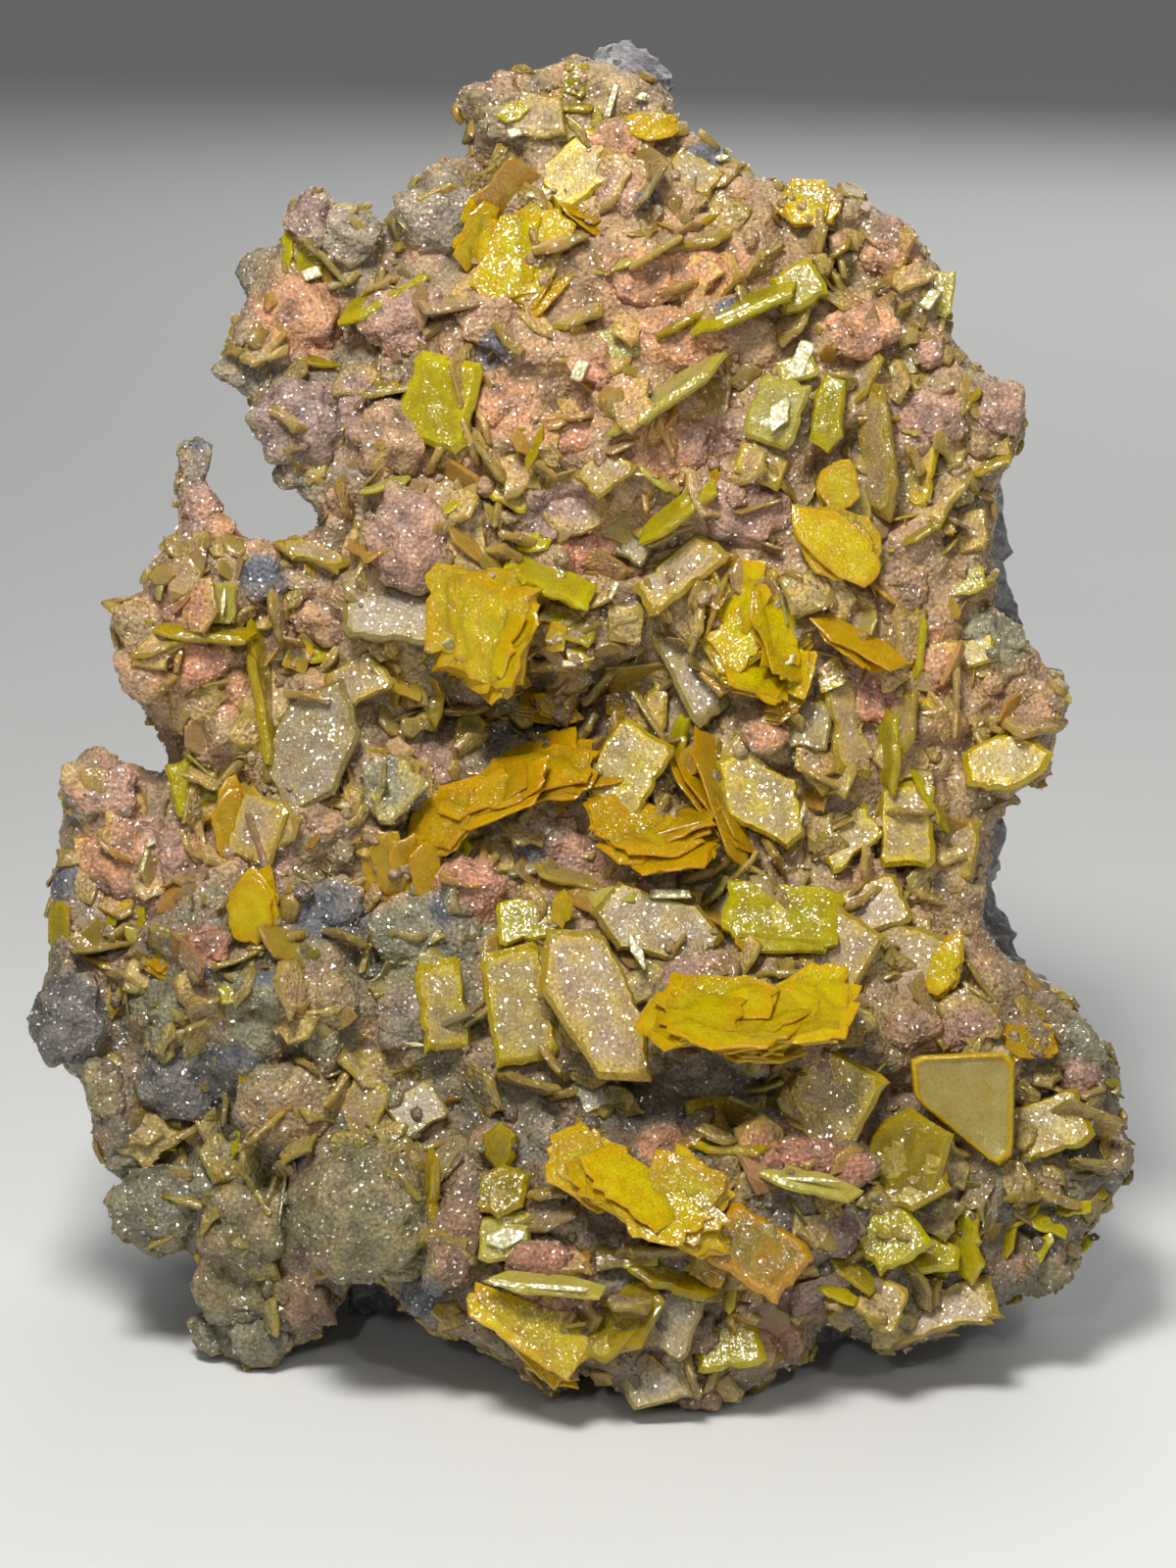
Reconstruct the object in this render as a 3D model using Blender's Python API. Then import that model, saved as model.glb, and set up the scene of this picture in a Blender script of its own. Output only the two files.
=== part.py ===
"""Wulfenite specimen: tabular wulfenite crystals on a crust of rounded mimetite, on grey host rock.

The specimen stands on a flat underside, +Z up, with its crystal-covered front towards -Y.
Lengths in the tables are millimetres. Places in the tables are given on a layout plane that leans
back with the specimen's front: x to the right, y up the front, and depth out of the plane towards
a viewer who looks slightly down on it.
"""
import math
import random

import bmesh
import bpy
import numpy as np
from mathutils import Matrix, Vector
from mathutils.bvhtree import BVHTree

MM = 0.001

# The layout plane and the point that it is seen from
LEAN = math.radians(15.0)
VIEW_DISTANCE = 400.0
LAYOUT_MIDDLE = 64.5
RIGHT = Vector((1.0, 0.0, 0.0))
UP = Vector((0.0, math.sin(LEAN), math.cos(LEAN)))
TOWARDS = Vector((0.0, -math.cos(LEAN), math.sin(LEAN)))
CENTRE = Vector((0.0, LAYOUT_MIDDLE * math.sin(LEAN), LAYOUT_MIDDLE * math.cos(LEAN)))

# Where the object's origin lies in layout space: the middle of the base, on the underside
ORIGIN = Vector((-1.2, 23.6, 3.4))

# Sizes that drive the build
CRUST_THICKNESS = 8.5
CRUST_VOXEL = 1.1
CRUST_TRIANGLES = 3500
ROCK_VOXEL = 2.2
ROCK_TRIANGLES = 1100
GAP = 0.3
ROCK_BACK_AT_FOOT = -38.0
ROCK_BACK_AT_TOP = -21.0
RIM_WIDTH = 10.0

# Edge of the crust as seen from the front, clockwise from the top
CRUST_OUTLINE = (
    (-1, 139.5), (4, 137.5), (9, 136), (10, 131.5), (14, 129.5), (17, 126.5), (20, 125.5),
    (26, 125.5), (30.5, 123), (34.5, 119.5), (36.5, 116), (36.8, 111.5), (39, 107.5),
    (43.5, 104.5), (44.8, 101.5), (44, 98.5), (41.5, 95), (41.8, 89), (42, 81.5), (44.5, 79.5),
    (45.5, 76.5), (48.5, 75.5), (49.7, 73), (47.5, 68.5), (46, 64.5), (42.5, 63), (41, 57.5),
    (40.5, 51.5), (42, 48), (46, 44.5), (50, 41.5), (52, 38.5), (54.3, 36), (54.5, 31.5),
    (55.8, 25.5), (54, 23), (53, 20.5), (50, 17.5), (48, 12.5), (45, 12.5), (40, 10), (36, 8),
    (30.5, 6.5), (25, 9), (22, 10.5), (21.5, 6.5), (17.5, 3), (12.5, 0.5), (5, 1), (0, 4.5),
    (-3.3, 2.5), (-8, 5), (-12.5, 8), (-16, 8.7), (-19, 11.5), (-23, 14.5), (-26, 10.5),
    (-30, 8), (-31, 5), (-33.5, 4.3), (-40, 7.5), (-41, 9.5), (-38.5, 11.5), (-40, 17),
    (-45, 16.7), (-48.5, 18.5), (-47, 23.5), (-50, 26.5), (-51.5, 34.5), (-55, 36.5),
    (-57.2, 40.5), (-55.5, 44.5), (-55.2, 54.5), (-53.5, 58.5), (-53.8, 64.5), (-52.5, 67),
    (-45.5, 65.5), (-43, 65.5), (-43.5, 69), (-45, 71), (-47.5, 74.5), (-48, 78.5),
    (-49.5, 81.5), (-48.5, 83), (-45.5, 84), (-44, 88.5), (-41.5, 90.5), (-41, 94.5),
    (-41.8, 99.5), (-40.8, 100.8), (-39.6, 97.5), (-38.4, 94), (-35.5, 90), (-28, 88),
    (-27.5, 92), (-30.5, 95), (-33, 98.5), (-34.6, 103.5), (-38.2, 105.5), (-37.5, 109),
    (-35, 113.5), (-32.5, 116.5), (-30.5, 123), (-28, 124.5), (-22, 123), (-21, 120),
    (-19, 124.5), (-16, 128), (-12, 129.5), (-13.8, 133.5), (-13, 136), (-5.5, 137.5),
)

# Broad hills and hollows of the front: x, y, half-width, half-height, depth
HILLS = (
    (8, 20, 36, 20, 14),
    (16, 41, 17, 6, 7),
    (-2, 8, 24, 8, 3),
    (-6, 70.8, 12, 4.2, -11),
    (5, 75.5, 5, 4, -5),
    (13, 32.5, 15, 3, -8),
    (-22.5, 44, 4, 4, -6),
    (-37, 29, 5, 4, -7),
    (4, 30.5, 5, 3, -5),
    (31, 35, 5, 3.5, -4),
    (9, 88.5, 4, 3, -3),
    (-33, 78, 3, 7, -2.5),
    (-41, 68, 3.5, 7, -6),
    (-44, 24.5, 6, 3, -4),
    (-27, 15, 3.5, 4, -5),
    (-17, 96, 5, 3, -3),
    (-25, 105.5, 5, 4, -3),
    (-47, 56, 9, 14, -9),
    (-38, 12, 10, 10, -4),
    (-30, 43, 16, 6, 7),
    (-22, 22, 8, 7, 4),
    (5, 105, 26, 20, 3),
    (-27, 112, 9, 12, -4),
    (-31, 99, 8, 7, 3),
    (-16, 88, 9, 8, 3),
    (2, 101, 9, 8, 2),
    (14, 114, 10, 8, 2),
    (26, 84, 10, 12, 4),
    (38, 70, 8, 8, 2),
    (-40, 52, 7, 6, 3),
    (-38, 81, 8, 7, 2),
)

# Mimetite balls and knobs that stand out of the crust: x, y, half-width, half-height, how far out
LUMPS = (
    (-28, 123, 2.6, 2.6, 0.5), (-25, 119.5, 3.4, 3.2, 1.5), (-30, 112, 4.6, 4.4, 2),
    (-33.5, 116.5, 3, 3, 1), (-20.5, 100.2, 4.6, 4.4, 2.5), (-28, 101.5, 5.4, 6, 2),
    (-18.5, 90, 3.4, 5, 2), (-26.8, 87.7, 4, 2.6, 2),
    (-40.6, 97.4, 1.8, 3.4, 1), (-40.2, 94, 2.2, 3.2, 1), (-39.2, 90.4, 2.6, 3.2, 1),
    (-37.4, 86.8, 3.2, 3.4, 1), (-35, 85.5, 4, 4, 1.5),
    (0, 106.8, 1.8, 1.8, 3), (35, 109.2, 2, 2, 2), (42, 102, 2.6, 2.6, 1), (30.5, 121, 2, 2, 1),
    (-20.5, 65, 4.2, 4.2, 2), (-15.5, 66, 2, 2, 1.5), (-27.5, 61, 1.8, 1.8, 1.5),
    (-31, 57.5, 3.2, 3.2, 1.5), (-48, 59.5, 6.5, 7, 2), (-50, 65.5, 3.4, 3, 1),
    (-40, 48.5, 5, 5, 2), (-51, 50, 4, 5, 1.5), (-12.5, 53.5, 3.6, 3.2, 2.5),
    (-25.5, 41.5, 2.8, 2.8, 2.5), (-52.5, 40.5, 3.2, 3.4, 1.5), (-30.5, 30.5, 5, 4.6, 3),
    (-21.5, 21.5, 7.6, 6.8, 3), (-13.5, 19.5, 2.6, 7, 2.5), (-43.5, 20.5, 4.6, 4.6, 2.5),
    (-34.5, 19, 4.2, 4.2, 2.5), (-35.5, 12, 4.4, 4.4, 2), (-36.5, 7.8, 2.4, 2.4, 1),
    (-33, 7.2, 2.4, 2.4, 1), (-29, 10.5, 3, 3, 1), (-38.5, 25.5, 3.2, 3.2, 2),
    (-50, 34, 2.2, 2.2, 1), (38.5, 40, 2.4, 2.4, 2.5), (34, 39.5, 2, 2, 2),
    (26.6, 66.4, 2.6, 2.6, 2), (18, 70, 2.8, 2.8, 2), (43, 76.5, 3.4, 3.4, 1.5),
    (46, 72, 3, 3, 1), (38, 85, 3.6, 3.6, 1.5), (37, 95, 4, 4, 1.5), (33, 113, 3.4, 3.4, 1.5),
    (10.5, 46, 4.2, 3.6, 1.5), (26, 26.5, 3, 3, 2.5), (-4, 14.5, 3, 2.6, 2),
    (9, 4.5, 3.4, 3.2, 1.5), (20, 7.5, 3.2, 3.2, 1.5), (18, 10, 2.4, 2.4, 2),
    (53, 26.5, 3, 3, 1), (50, 34.5, 2.6, 2.6, 1.5), (46, 16.5, 3.2, 3, 1.5),
    (34, 10.5, 3.4, 3.2, 1.5), (41, 22, 3.4, 3.4, 1.5), (2, 117, 6.5, 5.5, 1.5),
    (14, 111, 6, 4.5, 1.5), (3, 97, 5.5, 4.5, 2), (16, 95, 5, 4, 1.5), (-6, 109, 5, 4.5, 1.5),
    (24, 110, 4.5, 4.5, 1.5), (10, 123, 5, 4, 1), (-5, 131, 4.5, 3.5, 1), (33, 101, 4.5, 4.5, 1.5),
)

# Grey host rock seen past the crust: x, y, depth, width, height, thickness of each block
ROCK_BLOCKS = (
    (2.8, 138.8, -21, 6.6, 6, 9),
    (4.2, 132, -22, 9, 12, 9),
    (41.5, 90, -16, 6.5, 17, 10),
    (39, 56, -18, 6.5, 12, 10),
    (43.5, 46.5, -15, 8, 9, 9),
    (39, 70, -20, 10, 26, 12),
    (0, 8, -13, 22, 16, 12),
    (20, 8, -15, 24, 16, 12),
    (-8, 12, -24, 36, 20, 16),
    (22, 12, -26, 34, 20, 16),
    (-24, 16, -33, 22, 22, 16),
    (6, 16, -34, 50, 22, 14),
    (34, 16, -30, 18, 18, 14),
)

# Shapes of crystal faces, as half-width and half-length fractions round the outline
SQUARE = ((1.0, 0.76), (0.8, 1.0), (-0.88, 1.0), (-1.0, 0.84),
          (-1.0, -0.8), (-0.76, -1.0), (0.84, -1.0), (1.0, -0.88))
BLADE = ((1.0, 0.42), (0.3, 1.0), (-0.9, 0.78), (-1.0, -0.5), (-0.2, -1.0), (0.95, -0.72))
LEAF = ((0.9, 0.3), (0.25, 1.0), (-0.8, 0.5), (-1.0, -0.35), (-0.35, -1.0), (0.8, -0.5))

# Each crystal is one plate or several grown through each other. For every plate: x, y, how far it
# stands off the crust, length, width, thickness, turn of its length from level (degrees,
# anticlockwise), lean of its face away from the viewer, nod of its far end towards the viewer, shape
CRYSTALS = {
    "wulfenite_top_plate": (
        (6.5, 131.8, 1.2, 7.2, 4.2, 1.4, 12, 20, 5, SQUARE),),
    "wulfenite_upper_left_plate": (
        (-7.5, 118.6, 1.8, 14.5, 9.5, 1.5, 48, 12, 8, SQUARE),
        (-11.8, 120.5, 1.4, 8, 4.5, 1.1, 62, -25, 10, BLADE),),
    "wulfenite_upper_right_plate": (
        (22, 123.5, 0.8, 8.2, 5.8, 1.5, -8, 22, 5, BLADE),),
    "wulfenite_right_blade": (
        (21.5, 115.3, 1.6, 5.4, 4.8, 2, 30, 10, 0, SQUARE),
        (15.8, 113, 1.4, 13.5, 5, 1.1, 24, 66, 4, BLADE),),
    "wulfenite_upper_long_blade": (
        (7.8, 104, 2.2, 15.5, 6, 1.2, 33, 70, 6, BLADE),),
    "wulfenite_upper_glint_plate": (
        (19.2, 102.6, 1.6, 7, 6, 1.1, 70, 12, 5, SQUARE),
        (21.2, 106.8, 1.2, 4.6, 3, 1, 20, 15, 0, SQUARE),),
    "wulfenite_upper_column": (
        (24.6, 102.4, 1.4, 9.4, 3.6, 1.6, 84, 15, 0, BLADE),),
    "wulfenite_tall_blade": (
        (29.6, 98.6, 1.6, 16, 5.5, 1.1, 97, 55, 0, BLADE),),
    "wulfenite_green_top_plate": (
        (-0.9, 126.9, 1, 8.4, 7, 1.2, 35, 18, 0, SQUARE),),
    "wulfenite_left_bumpy_plate": (
        (-15.2, 103.4, 2, 9.8, 8.6, 1.8, 75, 15, 5, SQUARE),),
    "wulfenite_shoulder_blade": (
        (-20.8, 114.4, 1, 12.6, 4.5, 1.1, 31, 55, 5, BLADE),),
    "wulfenite_pale_blade": (
        (9.2, 92.2, 1.6, 10.8, 4, 1.1, 37, 55, 5, BLADE),),
    "wulfenite_large_yellow_plate": (
        (25.9, 89.4, 2.4, 11, 8.6, 1.6, -22, 14, 8, SQUARE),
        (25.6, 95.2, 1.8, 5.2, 4.6, 1.2, 20, 10, 8, LEAF),),
    "wulfenite_left_grey_plate": (
        (-19, 82, 1.8, 13.4, 8, 1.2, -6, 28, 8, SQUARE),),
    "wulfenite_square_chunk": (
        (-10.4, 80.2, 3, 12.4, 11, 2.2, 78, 12, 6, SQUARE),
        (-9.6, 79, 3.4, 11, 9, 1.4, 62, 30, 10, SQUARE),
        (-10.8, 82, 1.6, 11.4, 10.4, 1.6, 88, -14, 0, SQUARE),),
    "wulfenite_left_ridge_blades": (
        (-33, 73.6, 1.4, 18.4, 5, 1.1, -80, 68, 0, BLADE),
        (-39, 80, 0.8, 11.5, 4.5, 1.1, -4, 62, 0, BLADE),),
    "wulfenite_left_tan_plate": (
        (-28, 68.4, 2.2, 17.5, 10.5, 1.2, 58, 22, 8, LEAF),),
    "wulfenite_left_small_plate": (
        (-40, 64.5, 1, 6.4, 6, 1.4, 20, 15, 5, SQUARE),),
    "wulfenite_left_point": (
        (-36.4, 61, 1.4, 9.4, 4.4, 1.6, -96, 22, 0, LEAF),),
    "wulfenite_left_tall_plate": (
        (-33.8, 51.4, 2, 9.6, 5.8, 1.4, 92, 18, 5, LEAF),),
    "wulfenite_twin_blades": (
        (-20.8, 56.4, 1.8, 9, 5.6, 1.4, 104, 22, 8, BLADE),
        (-17.2, 56, 2, 8.6, 5.4, 1.4, 80, -22, 8, BLADE),),
    "wulfenite_curved_spray": (
        (-14.5, 60.8, 2.6, 11.5, 7.5, 1.3, 32, 35, 10, LEAF),
        (-9.8, 63.4, 3.2, 13.5, 8.5, 1.3, 24, 48, 10, BLADE),
        (-4.5, 65.2, 3.4, 14, 9, 1.3, 14, 42, 12, BLADE),
        (-0.5, 66.6, 2.6, 11, 8, 1.3, 4, 52, 8, BLADE),
        (-7.5, 66.8, 1.6, 15, 7.5, 1.2, 20, 60, 4, BLADE),),
    "wulfenite_centre_druse_plate": (
        (4.2, 66, 2.6, 9.4, 7.6, 1.1, 60, 20, 0, SQUARE),),
    "wulfenite_centre_spray": (
        (6.2, 59, 3, 13.4, 8, 1.3, -16, 45, 10, LEAF),
        (8.8, 57.8, 3.2, 12.4, 8, 1.3, 2, 52, 8, BLADE),
        (4.2, 60.2, 2.4, 11, 7, 1.3, -38, 38, 8, BLADE),
        (9.6, 60.4, 2.2, 9, 6, 1.2, 18, 60, 8, BLADE),),
    "wulfenite_centre_thin_blade": (
        (12.8, 63.2, 2.4, 16.8, 5, 1.1, -63, 55, 5, BLADE),),
    "wulfenite_right_druse_plate": (
        (18, 63, 2, 12.6, 8.2, 1.2, -58, 15, 4, SQUARE),),
    "wulfenite_centre_tan_plate": (
        (10.5, 76.2, 2, 11.4, 5.2, 1.1, -62, 18, 8, SQUARE),),
    "wulfenite_upper_cluster": (
        (15.4, 83.6, 1.8, 9, 7, 1.3, 70, 25, 8, SQUARE),
        (19.6, 80, 2.4, 11, 7.5, 1.3, -70, 35, 6, BLADE),
        (17.6, 76.2, 2.6, 10, 7, 1.3, -20, 40, 6, BLADE),
        (16, 79.2, 2.8, 9, 6, 1.2, 30, 20, 10, SQUARE),),
    "wulfenite_right_diagonal_blade": (
        (27, 79, 1.6, 10.8, 4.6, 1.1, -37, 45, 5, BLADE),),
    "wulfenite_right_thin_blade": (
        (30.8, 68, 1.6, 9.5, 4, 1, 92, 62, 0, BLADE),),
    "wulfenite_right_green_plate": (
        (32.6, 60.4, 1.6, 9.4, 6.4, 1.2, 88, 20, 0, SQUARE),),
    "wulfenite_right_rounded_plate": (
        (42.4, 67, 1.4, 6.4, 6, 1.4, 30, 18, 0, SQUARE),),
    "wulfenite_yellow_edge_plate": (
        (19.9, 51.4, 2.2, 12.2, 7.4, 1.3, -5, 35, 4, SQUARE),
        (20.3, 49, 1.8, 10.5, 5.5, 1.2, -3, 52, 0, BLADE),),
    "wulfenite_hexagonal_plate": (
        (7.2, 49.8, 2.6, 14.6, 8, 1.2, -18, 18, 4, BLADE),),
    "wulfenite_tan_plates": (
        (25.8, 47.4, 2, 8.4, 7.4, 1.2, 60, 18, 0, SQUARE),
        (29, 52, 1.6, 7, 6, 1.2, 20, 22, 0, SQUARE),),
    "wulfenite_right_yellow_plate": (
        (36.6, 46.2, 1.4, 7.4, 4.2, 1.4, 82, 18, 0, BLADE),),
    "wulfenite_sparkling_plate": (
        (0.8, 42, 3, 18.4, 8.6, 1.2, -62, 14, 4, BLADE),),
    "wulfenite_left_centre_plate": (
        (-7.2, 41.8, 2.8, 12.6, 7.2, 1.2, -80, 16, 6, SQUARE),),
    "wulfenite_rosette": (
        (11, 40.6, 4.6, 13, 11, 1.4, 4, 58, 0, BLADE),
        (16, 39.8, 5.4, 16, 12, 1.4, -2, 64, 0, LEAF),
        (20.4, 40.8, 5.2, 14, 11, 1.3, 8, 56, 4, BLADE),
        (22.6, 42.4, 4.6, 11, 9, 1.3, 20, 50, 6, BLADE),
        (14.4, 42.2, 3.8, 14, 9, 1.3, 0, 46, 0, BLADE),
        (17.8, 37.8, 4.6, 12, 9, 1.2, -4, 74, 0, LEAF),),
    "wulfenite_yellow_rim_plate": (
        (24.6, 32.6, 2.8, 10.2, 9.2, 1.3, 62, 16, 4, SQUARE),),
    "wulfenite_serrated_plate": (
        (32.4, 26.4, 2.2, 11, 9, 1.3, 70, 22, 6, BLADE),
        (33.4, 24, 2.2, 8, 6, 1.2, 30, 30, 6, BLADE),),
    "wulfenite_far_right_plate": (
        (47, 29.6, 1.8, 8.2, 6.6, 1.2, 22, 25, 8, SQUARE),),
    "wulfenite_pale_green_blade": (
        (22.6, 23.8, 2.6, 10.4, 3.6, 1.1, -12, 58, 4, BLADE),),
    "wulfenite_lower_spray": (
        (0.6, 25.6, 3.6, 11, 7.5, 1.3, -40, 30, 8, BLADE),
        (4.2, 23.4, 4.2, 13, 8, 1.3, -30, 38, 8, BLADE),
        (8.2, 21.2, 4.2, 12.5, 8, 1.3, -24, 34, 8, LEAF),
        (11.2, 19.2, 3.6, 9, 6.5, 1.2, -42, 28, 6, LEAF),
        (10.4, 23.6, 3.2, 9.5, 5.5, 1.2, -32, 20, 0, SQUARE),),
    "wulfenite_brown_plate": (
        (17.2, 16.6, 2.6, 9.6, 7.4, 1.3, -34, 16, 4, SQUARE),),
    "wulfenite_olive_fan": (
        (-8.8, 23, 2.4, 7.2, 5.6, 1.3, 20, 22, 6, LEAF),
        (-9, 27.6, 1.8, 5.6, 4.4, 1.3, 80, 18, 4, LEAF),),
    "wulfenite_bright_rectangle": (
        (-8.4, 18.2, 2.4, 5.8, 4.8, 1.1, 8, 10, 6, SQUARE),),
    "wulfenite_lower_right_plates": (
        (30.8, 18.2, 1.8, 7, 6.4, 1.3, 30, 22, 4, SQUARE),
        (38.8, 17.6, 1.8, 9.4, 4, 1.1, 92, 40, 0, BLADE),
        (34.8, 16.6, 1.2, 8, 5, 1.2, 5, 40, 0, BLADE),),
    "wulfenite_front_blade": (
        (-7.2, 9.4, 2.4, 13.6, 7.6, 1.5, -28, 24, 4, LEAF),
        (-5.2, 6.4, 2.2, 8.6, 6, 1.3, -46, 36, 4, LEAF),),
    "wulfenite_front_fan": (
        (2.4, 8.8, 2.4, 9.4, 6, 1.2, 35, 40, 4, BLADE),
        (4.6, 10, 1.8, 8.4, 5.4, 1.2, 62, 30, 4, BLADE),),
    "wulfenite_white_streak_blade": (
        (-4, 13.4, 2, 13.2, 3.4, 1, -5, 58, 0, BLADE),),
    "wulfenite_front_right_plate": (
        (14.2, 7.2, 2, 7, 5.4, 1.4, 12, 24, 4, SQUARE),),
}

# The triangular crystal with a bevelled rim, lower right: its corners and how far it stands out
TRIANGLE_CORNERS = ((33.0, 36.9), (44.3, 37.2), (44.2, 25.6))
TRIANGLE_OUT = 5.2
TRIANGLE_RIM = 1.2
TRIANGLE_DISH = 0.9
TRIANGLE_ROOT = 6.0

# Looks of the three minerals: colour, metallic, roughness
ROCK_LOOK = ((0.16, 0.155, 0.165, 1.0), 0.25, 0.55)
CRUST_LOOK = ((0.42, 0.26, 0.15, 1.0), 0.0, 0.75)
WULFENITE_LOOK = ((0.62, 0.38, 0.01, 1.0), 0.0, 0.22)


def place(x, y, depth):
    """The point seen at (x, y) on the layout plane, moved along the line of sight by depth."""
    scale = (VIEW_DISTANCE - depth) / VIEW_DISTANCE
    point = CENTRE + (RIGHT * x + UP * (y - LAYOUT_MIDDLE)) * scale + TOWARDS * depth
    return (point - ORIGIN) * MM


# The front's shape

OUTLINE_POINTS = np.array(CRUST_OUTLINE, dtype=float)
OUTLINE_STEPS = np.roll(OUTLINE_POINTS, -1, axis=0) - OUTLINE_POINTS


def inset(x, y):
    """Distance from (x, y) to the crust's edge, negative outside it."""
    offsets = np.array((x, y)) - OUTLINE_POINTS
    along = (offsets * OUTLINE_STEPS).sum(axis=1) / (OUTLINE_STEPS ** 2).sum(axis=1)
    nearest = offsets - OUTLINE_STEPS * np.clip(along, 0.0, 1.0)[:, None]
    distance = float(np.sqrt((nearest ** 2).sum(axis=1)).min())
    ends = OUTLINE_POINTS + OUTLINE_STEPS
    spans = (OUTLINE_POINTS[:, 1] > y) != (ends[:, 1] > y)
    heights = np.where(spans, OUTLINE_STEPS[:, 1], 1.0)
    crossings = OUTLINE_POINTS[:, 0] + (y - OUTLINE_POINTS[:, 1]) * OUTLINE_STEPS[:, 0] / heights
    inside = int((spans & (crossings > x)).sum()) % 2 == 1
    return distance if inside else -distance


def hills(x, y):
    """Depth of the front's broad hills and hollows at (x, y)."""
    total = 0.0
    for hill_x, hill_y, half_width, half_height, depth in HILLS:
        reach = ((x - hill_x) / half_width) ** 2 + ((y - hill_y) / half_height) ** 2
        total += depth * math.exp(-reach)
    return total


def rim_fall(x, y):
    """0 well inside the edge, growing to 1 at it and beyond 1 outside it."""
    return min(max(1.0 - inset(x, y) / RIM_WIDTH, 0.0), 1.6)


def face_depth(x, y):
    """Depth of the crust's surface, which rounds back near its edge."""
    return hills(x, y) - 5.0 * rim_fall(x, y) ** 2


def rock_depth(x, y):
    """Depth of the boundary between the host rock and the crust that grew on it."""
    return hills(x, y) - CRUST_THICKNESS - 8.0 * rim_fall(x, y) ** 2


# Making and combining meshes

def new_object(name, bm):
    mesh = bpy.data.meshes.new(name)
    bm.to_mesh(mesh)
    bm.free()
    part = bpy.data.objects.new(name, mesh)
    bpy.context.collection.objects.link(part)
    return part


def bake(part):
    """Replace an object's mesh by what its modifiers make of it."""
    depsgraph = bpy.context.evaluated_depsgraph_get()
    mesh = bpy.data.meshes.new_from_object(part.evaluated_get(depsgraph))
    part.modifiers.clear()
    part.data = mesh


def combine(part, tool, operation):
    """Boolean of part and tool; the tool is used up."""
    modifier = part.modifiers.new("combine", "BOOLEAN")
    modifier.operation = operation
    modifier.solver = "EXACT"
    modifier.object = tool
    bake(part)
    bpy.data.objects.remove(tool)


def swollen_copy(part, distance):
    """A copy of part whose surface lies a set distance outside it."""
    copy = bpy.data.objects.new("swollen", part.data.copy())
    bpy.context.collection.objects.link(copy)
    modifier = copy.modifiers.new("swell", "DISPLACE")
    modifier.mid_level = 0.0
    modifier.strength = distance * MM
    bake(copy)
    return copy


def keep_main_body(part):
    """Drop the loose bits and inner bubbles that a cut or a remesh leaves."""
    bm = bmesh.new()
    bm.from_mesh(part.data)
    bmesh.ops.remove_doubles(bm, verts=bm.verts, dist=0.000002)
    bm.faces.ensure_lookup_table()
    group = {}
    bodies = []
    for start in bm.faces:
        if start in group:
            continue
        members = []
        waiting = [start]
        group[start] = len(bodies)
        while waiting:
            face = waiting.pop()
            members.append(face)
            for edge in face.edges:
                for other in edge.link_faces:
                    if other not in group:
                        group[other] = len(bodies)
                        waiting.append(other)
        bodies.append(members)
    largest = max(bodies, key=lambda members: sum(face.calc_area() for face in members))
    lost = [face for members in bodies if members is not largest for face in members]
    bmesh.ops.delete(bm, geom=lost, context="FACES")
    loose = [vert for vert in bm.verts if not vert.link_faces]
    bmesh.ops.delete(bm, geom=loose, context="VERTS")
    bmesh.ops.triangulate(bm, faces=bm.faces)
    bm.to_mesh(part.data)
    bm.free()


def remesh(part, voxel):
    modifier = part.modifiers.new("merge lumps", "REMESH")
    modifier.mode = "VOXEL"
    modifier.voxel_size = voxel * MM
    bake(part)
    keep_main_body(part)


def decimate(part, triangles):
    count = len(part.data.polygons)
    modifier = part.modifiers.new("fewer triangles", "DECIMATE")
    modifier.ratio = min(1.0, triangles / count)
    modifier.use_collapse_triangulate = True
    bake(part)
    keep_main_body(part)


def add_lump(bm, x, y, depth, half_width, half_height, half_depth, turn=0.0):
    """A rounded lump with its middle at the given place."""
    axes = Matrix((RIGHT, UP, TOWARDS)).transposed()
    spin = Matrix.Rotation(turn, 3, "Z")
    size = Matrix.Diagonal(Vector((half_width, half_height, half_depth)) * MM)
    matrix = (axes @ spin @ size).to_4x4()
    matrix.translation = place(x, y, depth)
    bmesh.ops.create_icosphere(bm, subdivisions=2, radius=1.0, matrix=matrix)


def add_block(bm, x, y, depth, width, height, thickness, tilt):
    """An angular block of rock, turned by the three angles in tilt."""
    axes = Matrix((RIGHT, UP, TOWARDS)).transposed()
    spin = (Matrix.Rotation(tilt[0], 3, "X") @ Matrix.Rotation(tilt[1], 3, "Y")
            @ Matrix.Rotation(tilt[2], 3, "Z"))
    size = Matrix.Diagonal(Vector((width, height, thickness)) * MM)
    matrix = (axes @ spin @ size).to_4x4()
    matrix.translation = place(x, y, depth)
    bmesh.ops.create_cube(bm, size=1.0, matrix=matrix)


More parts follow.
